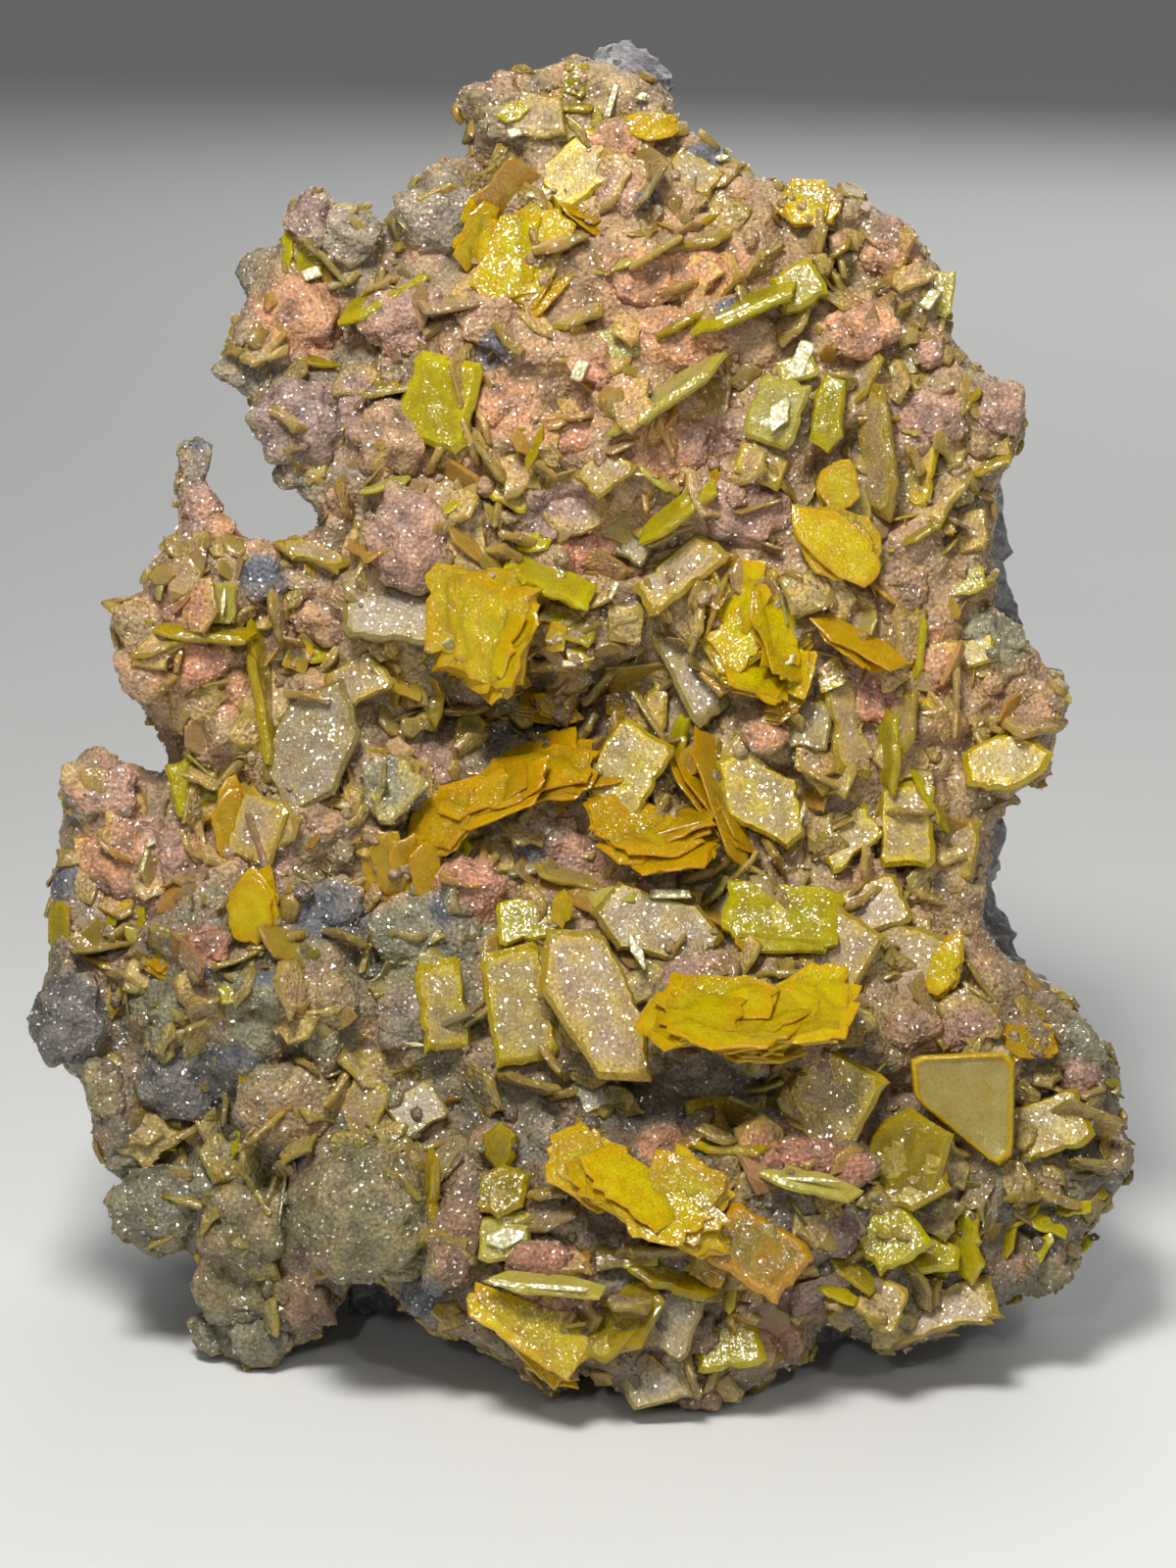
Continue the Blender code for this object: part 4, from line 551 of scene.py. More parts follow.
# Places where nothing grows on the crust's edge or on bare rock: x, y, half-width, half-height
EMPTY_PLACES = (
    (3, 139, 5, 3), (44, 88, 3, 8), (42, 51.5, 3, 5.5), (-33.5, 94, 3.5, 5),
)

# Looks whose plates are built as thin leaves lying on each other
LAYERED_LOOKS = ("bright", "orange")
# The share of the scattered plates that stand up from the crust
STANDING_SHARE = 0.45
# Mimetite knobs grow over a crystal up to this far from the crust, in millimetres
COLLAR_REACH = 1.3
# The share of clear yellow in the rim of a coated plate
COATED_RIM = 0.5
# The width of the crust's edge, where its relief and what grows on it are smaller
EDGE_BAND = 4.0
# Edges of crystals sharper than this many degrees stay sharp
CREASE = 32.0
# The share of the tiny crystals that are pale: partly the druse's own pale crystals, partly painted sparkle
PALE_SHARE = 0.36
# Numbers of small pieces
COATED_PLATE_COUNT = 880
BALL_COUNT = 420
COLLAR_COUNT = 1500
BLADE_COUNT = 600
SMALL_BLADE_COUNT = 780
GRAIN_COUNT = 38000
COAT_GRAIN_COUNT = 20000
# The key light's place, in metres
KEY_PLACE = (-0.06, -0.21, 0.37)
# Where a random vector takes its three samples of noise
WANDER_OFFSETS = (Vector((9.3, -1.5, -8.0)), Vector((31.4, 12.7, -8.9)), Vector((-17.2, 45.3, 22.6)))


# Layout space

def place(x, y, depth):
    """The point seen at (x, y) on the layout plane, moved along the line of sight by depth."""
    scale = (VIEW_DISTANCE - depth) / VIEW_DISTANCE
    point = CENTRE + (RIGHT * x + UP * (y - LAYOUT_MIDDLE)) * scale + TOWARDS * depth
    return (point - ORIGIN) * MM


def layout_of(points):
    """Layout x, y and depth of an array of points in metres."""
    offsets = points / MM + np.array(ORIGIN - CENTRE)
    depth = offsets @ np.array(TOWARDS)
    scale = (VIEW_DISTANCE - depth) / VIEW_DISTANCE
    x = offsets @ np.array(RIGHT) / scale
    y = offsets @ np.array(UP) / scale + LAYOUT_MIDDLE
    return x, y, depth


OUTLINE_POINTS = np.array(CRUST_OUTLINE, dtype=float)
OUTLINE_STEPS = np.roll(OUTLINE_POINTS, -1, axis=0) - OUTLINE_POINTS


def inset(x, y):
    """Distance from (x, y) to the crust's edge, negative outside it."""
    offsets = np.array((x, y)) - OUTLINE_POINTS
    along = (offsets * OUTLINE_STEPS).sum(axis=1) / (OUTLINE_STEPS ** 2).sum(axis=1)
    nearest = offsets - OUTLINE_STEPS * np.clip(along, 0.0, 1.0)[:, None]
    distance = float(np.sqrt((nearest ** 2).sum(axis=1)).min())
    ends = OUTLINE_POINTS + OUTLINE_STEPS
    spans = (OUTLINE_POINTS[:, 1] > y) != (ends[:, 1] > y)
    heights = np.where(spans, OUTLINE_STEPS[:, 1], 1.0)
    crossings = OUTLINE_POINTS[:, 0] + (y - OUTLINE_POINTS[:, 1]) * OUTLINE_STEPS[:, 0] / heights
    is_inside = int((spans & (crossings > x)).sum()) % 2 == 1
    return distance if is_inside else -distance


def ellipse_reach(x, y, ellipse):
    """Squared distance from an ellipse's middle, which is 1 on its edge."""
    middle_x, middle_y, half_width, half_height = ellipse
    return ((x - middle_x) / half_width) ** 2 + ((y - middle_y) / half_height) ** 2


def hills(x, y):
    """Depth of the front's broad hills and hollows at (x, y)."""
    total = 0.0
    for *ellipse, depth in HILLS:
        total += depth * math.exp(-ellipse_reach(x, y, ellipse))
    return total


def rim_fall(x, y):
    """How far a place lies inside the band where the front bends back to its edge."""
    return min(max(1.0 - inset(x, y) / RIM_WIDTH, 0.0), 1.6)


def face_depth(x, y):
    """Depth of the front at (x, y), with its hills and its bend back at the edge."""
    return hills(x, y) - 5.0 * rim_fall(x, y) ** 2


# Meshes

def new_object(name, mesh):
    """An object in the scene that shows a mesh."""
    part = bpy.data.objects.new(name, mesh)
    bpy.context.scene.collection.objects.link(part)
    return part


def bake(part):
    """Replace an object's mesh by what its modifiers make of it."""
    depsgraph = bpy.context.evaluated_depsgraph_get()
    mesh = bpy.data.meshes.new_from_object(part.evaluated_get(depsgraph))
    part.modifiers.clear()
    part.data = mesh


def resurfaced(node, name, voxel, smoothing):
    """A fine, smoothed copy of a node's solid."""
    bm = bmesh.new()
    bm.from_mesh(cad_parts[node].data)
    bmesh.ops.remove_doubles(bm, verts=bm.verts, dist=0.00001)
    mesh = bpy.data.meshes.new(name)
    bm.to_mesh(mesh)
    bm.free()
    part = new_object(name, mesh)
    fine = part.modifiers.new("fine", "REMESH")
    fine.mode = "VOXEL"
    fine.voxel_size = voxel * MM
    soft = part.modifiers.new("soft", "SMOOTH")
    soft.iterations = smoothing
    soft.factor = 0.5
    bake(part)
    return part


def arrays_of(part):
    """Vertex positions and normals of an object's mesh, as arrays."""
    mesh = part.data
    count = len(mesh.vertices)
    points = np.zeros(count * 3)
    normals = np.zeros(count * 3)
    mesh.vertices.foreach_get("co", points)
    mesh.vertices.foreach_get("normal", normals)
    return points.reshape(-1, 3), normals.reshape(-1, 3)


def paint(part, colours):
    """Store one colour for each vertex."""
    layer = part.data.color_attributes.new("tint", "FLOAT_COLOR", "POINT")
    full = np.ones((len(part.data.vertices), 4))
    full[:, :3] = colours
    layer.data.foreach_set("color", full.ravel())


class Heap:
    """Many small closed shapes gathered into one mesh."""

    def __init__(self):
        self.points = []
        self.faces = []
        self.colours = []
        self.slots = []
        self.count = 0

    def add(self, points, faces, colours, slots):
        self.points.append(points)
        self.faces.append(np.asarray(faces) + self.count)
        self.colours.append(colours)
        self.slots.append(np.broadcast_to(slots, len(faces)))
        self.count += len(points)

    def make(self, name, materials, slot, smooth=False, crease=None):
        mesh = bpy.data.meshes.new(name)
        points = np.concatenate(self.points)
        points[:, 2] = np.maximum(points[:, 2], 0.0)
        mesh.from_pydata(points.tolist(), [], np.concatenate(self.faces).tolist())
        part = new_object(name, mesh)
        paint(part, np.concatenate(self.colours))
        for material in materials:
            mesh.materials.append(material)
        mesh.polygons.foreach_set("material_index", np.concatenate(self.slots).astype(np.int32))
        mesh.polygons.foreach_set("use_smooth", [smooth] * len(mesh.polygons))
        if crease:
            mesh.set_sharp_from_angle(angle=math.radians(crease))
        mesh.update()
        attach(part, "root")
        return part


def tree_of(part):
    """A search tree of an object's faces, for rays and nearest points."""
    bm = bmesh.new()
    bm.from_mesh(part.data)
    tree = BVHTree.FromBMesh(bm)
    bm.free()
    return tree


def random_places(part, count, rng, slot=None):
    """Points spread evenly over an object's faces, or one slot's, with the normals there."""
    mesh = part.data
    mesh.calc_loop_triangles()
    triangles = np.zeros(len(mesh.loop_triangles) * 3, dtype=np.int32)
    mesh.loop_triangles.foreach_get("vertices", triangles)
    triangles = triangles.reshape(-1, 3)
    points, _ = arrays_of(part)
    a, b, c = (points[triangles[:, i]] for i in range(3))
    crosses = np.cross(b - a, c - a)
    areas = np.linalg.norm(crosses, axis=1)
    shares = areas
    if slot is not None:
        slots = np.zeros(len(mesh.loop_triangles), dtype=np.int32)
        mesh.loop_triangles.foreach_get("material_index", slots)
        shares = np.where(slots == slot, areas, 0.0)
    chosen = rng.choice(len(areas), size=count, p=shares / shares.sum())
    u = np.sqrt(rng.random(count))[:, None]
    v = rng.random(count)[:, None]
    spots = a[chosen] * (1 - u) + b[chosen] * u * (1 - v) + c[chosen] * u * v
    return spots, crosses[chosen] / areas[chosen][:, None]


# Colours over the crust

def wander(point):
    """A smooth random vector at a point: the same noise read at three places far apart."""
    return Vector([noise.noise(point + offset) for offset in WANDER_OFFSETS])


def painted_foot_shade(y):
    """The share of its colour left at each height, after the painted shade towards the foot."""
    rise = np.clip((y - FOOT_BOTTOM) / (FOOT_TOP - FOOT_BOTTOM), 0.0, 1.0)
    return PAINTED_FOOT_SHADE + (1.0 - PAINTED_FOOT_SHADE) * rise


def region_colours(points, rng, mottle=0.10):
    """The crust's colour at each point: nearby regions blended, with patchy variation and painted shade
    towards the foot.
    """
    x, y, _ = layout_of(points)
    total = np.tile(np.array(FIELD) * 0.5, (len(points), 1))
    weights = np.full(len(points), 0.5)
    shift = np.array([wander(Vector(p) * 160.0) for p in points]) * 2.2
    wide_x, wide_y = x + shift[:, 0], y + shift[:, 1]
    for *ellipse, weight, colour in REGIONS:
        share = weight * np.exp(-ellipse_reach(wide_x, wide_y, ellipse))
        total += share[:, None] * np.array(colour)
        weights += share
    colours = total / weights[:, None]
    patches = np.array([noise.noise(Vector(p) * 300.0) for p in points])
    warm = np.clip(0.1 + 1.5 * patches, 0.0, 0.75)[:, None]
    colours = colours * (1 - warm) + np.array(LUMP_COLOURS["brown"]) * warm
    near_x, near_y = x + shift[:, 0] * 0.25, y + shift[:, 1] * 0.25
    for *ellipse, name in LUMPS:
        share = np.clip((1.25 - ellipse_reach(near_x, near_y, ellipse)) / 0.5, 0.0, 0.92)[:, None]
        colours = colours * (1 - share) + np.array(LUMP_COLOURS[name]) * share
    for ellipse in GREY_SPOTS:
        share = np.clip((1.2 - ellipse_reach(near_x, near_y, ellipse)) / 0.4, 0.0, 0.95)[:, None]
        colours = colours * (1 - share) + np.array(GREY_SPOT) * share
    # Painted shade towards the foot, times a random mottle of tone
    shade = painted_foot_shade(y) * (1 + rng.normal(0, mottle, len(points)))
    return (colours + BLOOM) * shade[:, None]


# Materials

def shader_of(material):
    return material.node_tree.nodes["Principled BSDF"]


def new_material(name):
    """A material with the standard shader."""
    material = bpy.data.materials.new(name)
    material.use_nodes = True
    return material


def add_node(material, kind, **inputs):
    """A new node, with values for its inputs."""
    node = material.node_tree.nodes.new(kind)
    for key, value in inputs.items():
        node.inputs[key.replace("_", " ")].default_value = value
    return node


def link(material, source, target):
    material.node_tree.links.new(source, target)


def object_coordinates(material):
    """The place on the piece itself, in metres."""
    return add_node(material, "ShaderNodeTexCoord").outputs["Object"]


def noise_texture(material, coordinates, scale, detail=3.0):
    """Cloudy noise."""
    texture = add_node(material, "ShaderNodeTexNoise", Scale=scale, Detail=detail)
    link(material, coordinates, texture.inputs["Vector"])
    return texture


def cell_texture(material, coordinates, scale):
    """Cells like packed grains."""
    texture = add_node(material, "ShaderNodeTexVoronoi", Scale=scale)
    link(material, coordinates, texture.inputs["Vector"])
    return texture


def ramp(material, factor, stops):
    """A colour ramp with the given (position, colour) stops."""
    node = material.node_tree.nodes.new("ShaderNodeValToRGB")
    elements = node.color_ramp.elements
    while len(elements) < len(stops):
        elements.new(0.5)
    for element, (position, colour) in zip(elements, stops):
        element.position = position
        element.color = (*colour, 1.0)
    link(material, factor, node.inputs["Fac"])
    return node.outputs["Color"]


def multiply(material, first, second):
    """The product of two colours."""
    node = material.node_tree.nodes.new("ShaderNodeMix")
    node.data_type = "RGBA"
    node.blend_type = "MULTIPLY"
    node.inputs["Factor"].default_value = 1.0
    link(material, first, node.inputs["A"])
    link(material, second, node.inputs["B"])
    return node.outputs["Result"]


def bump(material, height, strength, distance, normal=None):
    """Shaded relief from a height, on top of other relief."""
    node = add_node(material, "ShaderNodeBump", Strength=strength, Distance=distance)
    link(material, height, node.inputs["Height"])
    if normal:
        link(material, normal, node.inputs["Normal"])
    return node.outputs["Normal"]


def facet_normal(material, coordinates, scale, spread, base=None):
    """A normal that turns a little, at random, from one tiny crystal face to the next."""
    cells = cell_texture(material, coordinates, scale)
    offset = add_node(material, "ShaderNodeVectorMath")
    offset.operation = "SUBTRACT"
    link(material, cells.outputs["Color"], offset.inputs[0])
    offset.inputs[1].default_value = (0.5, 0.5, 0.5)
    turned = add_node(material, "ShaderNodeVectorMath")
    turned.operation = "MULTIPLY_ADD"
    link(material, offset.outputs["Vector"], turned.inputs[0])
    turned.inputs[1].default_value = (spread, spread, spread)
    if base is None:
        base = add_node(material, "ShaderNodeNewGeometry").outputs["Normal"]
    link(material, base, turned.inputs[2])
    unit = add_node(material, "ShaderNodeVectorMath")
    unit.operation = "NORMALIZE"
    link(material, turned.outputs["Vector"], unit.inputs[0])
    return unit.outputs["Vector"]


def tint(material):
    """The colour stored at the mesh's points."""
    node = material.node_tree.nodes.new("ShaderNodeAttribute")
    node.attribute_name = "tint"
    return node.outputs["Color"]


def druse_material(name, roughness, coat):
    """Mimetite: a sugary coat of tiny crystals, mottled, with sparkling faces."""
    material = new_material(name)
    shader = shader_of(material)
    coordinates = object_coordinates(material)
    grains = noise_texture(material, coordinates, 2600.0, 2.0)
    patches = noise_texture(material, coordinates, 520.0, 4.0)
    grain_shade = ramp(material, grains.outputs["Fac"],
                       [(0.28, (0.50, 0.48, 0.46)), (0.55, (1.0, 1.0, 1.0)),
                        (0.78, (1.45, 1.42, 1.36))])
    patch_shade = ramp(material, patches.outputs["Fac"],
                       [(0.30, (0.72, 0.74, 0.78)), (0.52, (1.0, 1.0, 1.0)),
                        (0.72, (1.16, 1.08, 0.94))])
    colour = multiply(material, multiply(material, tint(material), grain_shade), patch_shade)
    link(material, colour, shader.inputs["Base Color"])
    shader.inputs["Roughness"].default_value = roughness
    shader.inputs["Coat Weight"].default_value = coat
    shader.inputs["Coat Roughness"].default_value = 0.16
    shader.inputs["Coat IOR"].default_value = 1.9
    lumps = cell_texture(material, coordinates, 1900.0)
    rough = bump(material, grains.outputs["Fac"], 0.8, 0.00022)
    sugary = bump(material, lumps.outputs["Distance"], 0.7, 0.00028, rough)
    link(material, sugary, shader.inputs["Normal"])
    link(material, facet_normal(material, coordinates, 4400.0, 1.3), shader.inputs["Coat Normal"])
    return material


def grain_material(name):
    """Single tiny mimetite crystals: glassy faces, each catching the light by itself."""
    material = new_material(name)
    shader = shader_of(material)
    coordinates = object_coordinates(material)
    spots = noise_texture(material, coordinates, 1500.0, 2.0)
    shade = ramp(material, spots.outputs["Fac"],
                 [(0.3, (0.75, 0.72, 0.70)), (0.55, (1.0, 1.0, 1.0)), (0.75, (1.25, 1.25, 1.25))])
    link(material, multiply(material, tint(material), shade), shader.inputs["Base Color"])
    shader.inputs["Roughness"].default_value = 0.28
    shader.inputs["IOR"].default_value = 1.9
    return material


def clear_material(name):
    """Clear wulfenite: deep yellow, see-through and very shiny, with fine growth marks."""
    material = new_material(name)
    shader = shader_of(material)
    coordinates = object_coordinates(material)
    clouds = noise_texture(material, coordinates, 500.0, 4.0)
    shade = ramp(material, clouds.outputs["Fac"],
                 [(0.30, (0.93, 0.86, 0.6)), (0.50, (1.0, 1.0, 0.95)), (0.72, (1.04, 1.08, 1.2))])
    grains = noise_texture(material, coordinates, 3200.0, 2.0)
    speckle = ramp(material, grains.outputs["Fac"],
                   [(0.35, (0.92, 0.9, 0.8)), (0.55, (1.0, 1.0, 1.0)), (0.74, (1.1, 1.14, 1.5))])
    colour = multiply(material, multiply(material, tint(material), shade), speckle)
    link(material, colour, shader.inputs["Base Color"])
    shader.inputs["Roughness"].default_value = 0.2
    shader.inputs["IOR"].default_value = 1.6
    shader.inputs["Transmission Weight"].default_value = 0.4
    shader.inputs["Subsurface Weight"].default_value = 0.4
    shader.inputs["Subsurface Radius"].default_value = (1.0, 0.75, 0.08)
    shader.inputs["Subsurface Scale"].default_value = 0.0015
    absorbing = add_node(material, "ShaderNodeVolumeAbsorption", Density=220.0)
    absorbing.inputs["Color"].default_value = (1.0, 0.82, 0.12, 1.0)
    output = material.node_tree.nodes["Material Output"]
    link(material, absorbing.outputs["Volume"], output.inputs["Volume"])
    waves = noise_texture(material, coordinates, 2600.0, 3.0)
    marks = bump(material, waves.outputs["Fac"], 0.3, 0.00016)
    link(material, facet_normal(material, coordinates, 5200.0, 0.4, marks),
         shader.inputs["Normal"])
    return material


def polished_material(name):
    """The flat clean faces that mirror the key light, their pale colour partly a painted highlight."""
    material = new_material(name)
    shader = shader_of(material)
    coordinates = object_coordinates(material)
    clouds = noise_texture(material, coordinates, 900.0, 2.0)
    shade = ramp(material, clouds.outputs["Fac"],
                 [(0.35, (0.8, 0.78, 0.62)), (0.6, (1.0, 1.0, 1.0))])
    link(material, multiply(material, tint(material), shade), shader.inputs["Base Color"])
    shader.inputs["Roughness"].default_value = 0.3
    shader.inputs["IOR"].default_value = 2.1
    shader.inputs["Transmission Weight"].default_value = 0.3
    marks = bump(material, clouds.outputs["Fac"], 0.3, 0.0002)
    link(material, facet_normal(material, coordinates, 3400.0, 0.5, marks),
         shader.inputs["Normal"])
    return material


def frosted_material(name):
    """Wulfenite under a thin sparkling coat."""
    material = new_material(name)
    shader = shader_of(material)
    coordinates = object_coordinates(material)
    grains = noise_texture(material, coordinates, 3000.0, 2.0)
    patches = noise_texture(material, coordinates, 480.0, 4.0)
    shade = ramp(material, grains.outputs["Fac"],
                 [(0.3, (0.74, 0.72, 0.68)), (0.52, (1.0, 1.0, 1.0)), (0.72, (1.28, 1.28, 1.22))])
    patch_shade = ramp(material, patches.outputs["Fac"],
                       [(0.32, (0.80, 0.74, 0.64)), (0.55, (1.0, 1.0, 1.0)),
                        (0.75, (1.12, 1.12, 1.16))])
    colour = multiply(material, multiply(material, tint(material), shade), patch_shade)
    link(material, colour, shader.inputs["Base Color"])
    shader.inputs["Roughness"].default_value = 0.38
    shader.inputs["Coat Weight"].default_value = 0.9
    shader.inputs["Coat Roughness"].default_value = 0.14
    shader.inputs["Coat IOR"].default_value = 1.9
    rough = bump(material, grains.outputs["Fac"], 0.6, 0.0002)
    link(material, rough, shader.inputs["Normal"])
    link(material, facet_normal(material, coordinates, 4400.0, 1.1), shader.inputs["Coat Normal"])
    return material


def rock_material(name):
    """Grey host rock with dull metallic cleavage faces and rusty stains."""
    material = new_material(name)
    shader = shader_of(material)
    coordinates = object_coordinates(material)
    blotches = noise_texture(material, coordinates, 140.0, 6.0)
    grey = ramp(material, blotches.outputs["Fac"],
                [(0.30, srgb(108, 105, 106)), (0.48, srgb(146, 142, 143)),
                 (0.62, srgb(174, 169, 169)), (0.75, srgb(176, 160, 130))])
    grains = noise_texture(material, coordinates, 1800.0, 3.0)
    grain_shade = ramp(material, grains.outputs["Fac"],
                       [(0.3, (0.55, 0.55, 0.58)), (0.55, (1.0, 1.0, 1.0)), (0.75, (1.4, 1.4, 1.4))])
    link(material, multiply(material, grey, grain_shade), shader.inputs["Base Color"])
    flecks = cell_texture(material, coordinates, 900.0)
    metal = ramp(material, flecks.outputs["Color"],
                 [(0.6, (0.0, 0.0, 0.0)), (0.75, (0.4, 0.4, 0.4))])
    link(material, metal, shader.inputs["Metallic"])
    shader.inputs["Roughness"].default_value = 0.42
    rough = bump(material, grains.outputs["Fac"], 0.7, 0.0003)
    link(material, facet_normal(material, coordinates, 900.0, 0.5, rough),
         shader.inputs["Normal"])
    return material


CRUST = druse_material("mimetite_druse", 0.62, 0.35)
CLEAR = clear_material("wulfenite_clear")
FROSTED = frosted_material("wulfenite_frosted")
POLISHED = polished_material("wulfenite_polished")
ROCK = rock_material("host_rock_grey")
GRAIN = grain_material("mimetite_grains")


# The crust and the rock

def knobs(point, cell, seed):
    """Height, 0 to 1, of close-packed round knobs at a point."""
    nearest = noise.voronoi(point / (cell * MM) + Vector((seed, seed, seed)))[0][0]
    return max(0.0, 1.0 - (nearest / 0.72) ** 2)


def crust_height(point):
    """How far the crust's fine relief stands out at a point, in millimetres."""
    warp = wander(point * 300.0) * 0.7 * MM
    spot = point + warp
    height = 0.5 * knobs(spot, 4.6, 3.0) + 0.4 * knobs(spot, 2.2, 9.0)
    height += 0.8 * noise.fractal(point * 330.0, 0.9, 2.1, 4)
    return height - 0.3


def on_back(points, normals):
    """Which points lie on the crust's hidden back, against the rock."""
    x, y, depth = layout_of(points)
    facing = normals @ np.array(TOWARDS)
    boundary = np.array([hills(a, b) - CRUST_THICKNESS - 8.0 * rim_fall(a, b) ** 2
                         for a, b in zip(x, y)])
    return (facing < -0.1) & (depth < boundary + 1.2)


def set_surface(part, points, material, smooth):
    """Give a resurfaced solid its new shape, not below the floor, and its material."""
    points[:, 2] = np.maximum(points[:, 2], 0.0)
    mesh = part.data
    mesh.vertices.foreach_set("co", points.ravel())
    mesh.materials.clear()
    mesh.materials.append(material)
    mesh.polygons.foreach_set("use_smooth", [smooth] * len(mesh.polygons))
    mesh.update()


def make_crust():
    """The mimetite crust: the solid's shape with knobs and colours, and painted shade in the dips of its
    relief.
    """
    part = resurfaced("mimetite_crust", "mimetite_surface", 0.70, 3)
    points, normals = arrays_of(part)
    back = on_back(points, normals)
    heights = np.array([crust_height(Vector(p)) for p in points])
    heights[back] = 0.0
    x, y, _ = layout_of(points)
    from_edge = np.array([inset(a, b) for a, b in zip(x, y)])
    inward = np.clip(from_edge / EDGE_BAND, 0.0, 1.0)
    held = np.where(back, 0.0, heights * (0.55 + 0.45 * inward) - 0.1 * (1.0 - inward))
    points = points + normals * (held * MM)[:, None]
    set_surface(part, points, CRUST, smooth=True)
    colours = region_colours(points, np.random.default_rng(5), 0.06)
    # Painted shade: colour darker where the fine relief sinks and lighter on its knobs
    painted_hollow_shade = np.clip(0.66 + 0.46 * (heights + 0.35), 0.38, 1.15)
    paint(part, colours * painted_hollow_shade[:, None])
    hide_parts("mimetite_crust")
    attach(part, "root")
    return part


def rock_height(point):
    """Relief of broken rock, in millimetres: tilted blocks, ledges and grit."""
    _, spots = noise.voronoi(point / (5.0 * MM))
    block = noise.cell(spots[0] * 3.1) - 0.5
    ledge = noise.cell(Vector((0.0, 0.0, point.z / (2.4 * MM))) + spots[0] * 2.0) - 0.5
    grit = noise.fractal(point * 500.0, 0.9, 2.0, 4)
    return 0.9 * block + 0.5 * ledge + 0.45 * grit


def make_rock():
    """The host rock: the solid's shape with flat broken faces."""
    part = resurfaced("host_rock", "host_rock_surface", 1.1, 2)
    points, normals = arrays_of(part)
    heights = np.array([rock_height(Vector(p)) for p in points])
    facing = normals @ np.array(TOWARDS)
    heights[facing > 0.3] = np.minimum(heights[facing > 0.3], 0.0)
    heights[points[:, 2] < 0.3 * MM] = 0.0
    points = points + normals * (heights * MM)[:, None]
    set_surface(part, points, ROCK, smooth=False)
    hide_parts("host_rock")
    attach(part, "root")
    return part


# Crystals

def outline_points(rng, shape, length, width, step, ragged):
    """A closed outline with the shape's corners, and small notches along its edges."""
    corners = [Vector((along * length * rng.uniform(0.43, 0.52), across * width * rng.uniform(0.43, 0.52)))
               for across, along in shape]
    corners.reverse()
    points = []
    for start, end in zip(corners, corners[1:] + corners[:1]):
        pieces = max(1, round((end - start).length / step))
        notch = 0.0
        for k in range(pieces):
            if rng.random() < 0.6:
                notch = rng.random() ** 2 * ragged
            spot = start.lerp(end, k / pieces)
            points.append(spot * (1.0 - notch / max(spot.length, 1.0)))
    return np.array(points)


def inside(polygon, x, y):
    """Which of the points lie inside a closed polygon."""
    ends = np.roll(polygon, -1, axis=0)
    spans = (polygon[:, 1] > y[:, None]) != (ends[:, 1] > y[:, None])
    heights = np.where(ends[:, 1] == polygon[:, 1], 1.0, ends[:, 1] - polygon[:, 1])
    shares = (y[:, None] - polygon[:, 1]) / heights
    crossings = polygon[:, 0] + shares * (ends[:, 0] - polygon[:, 0])
    return (spans & (crossings > x[:, None])).sum(axis=1) % 2 == 1


def sheet(rng, edge, spacing):
    """Points in and on an outline, outline first, and the triangles that join them."""
    points = edge
    if spacing:
        low, high = edge.min(axis=0), edge.max(axis=0)
        x, y = np.meshgrid(np.arange(low[0], high[0], spacing),
                           np.arange(low[1], high[1], spacing * 0.87))
        x = x + (np.arange(x.shape[0]) % 2 * spacing * 0.5)[:, None]
        x, y = x.ravel(), y.ravel()
        x = x + np.array([rng.uniform(-0.3, 0.3) * spacing for _ in x])
        y = y + np.array([rng.uniform(-0.3, 0.3) * spacing for _ in y])
        kept = inside(edge * (1.0 - spacing * 1.1 / np.abs(edge).max()), x, y)
        points = np.concatenate((edge, np.stack((x[kept], y[kept]), axis=1)))
    corners = [Vector(point) for point in points]
    result = delaunay_2d_cdt(corners, [], [list(range(len(edge)))], 1, 1e-5)
    place_of = {}
    for index, sources in enumerate(result[3]):
        for source in sources:
            place_of[source] = index
    order = [place_of[index] for index in range(len(points))]
    new_place = {old: new for new, old in enumerate(order)}
    triangles = [[new_place[i] for i in face] for face in result[2]
                 if all(i in new_place for i in face)]
    return points, np.array(triangles)


def noise_field(points, scale, seed):
    """Noise at each point of a flat outline."""
    return np.array([noise.noise(Vector((x * scale, y * scale, 0.0)) + seed) for x, y in points])


def rim_distance(points, edge):
    """How far each point lies from the nearest point of an outline."""
    steps = points[:, None, :] - edge[None, :, :]
    return np.sqrt((steps ** 2).sum(axis=2)).min(axis=1)


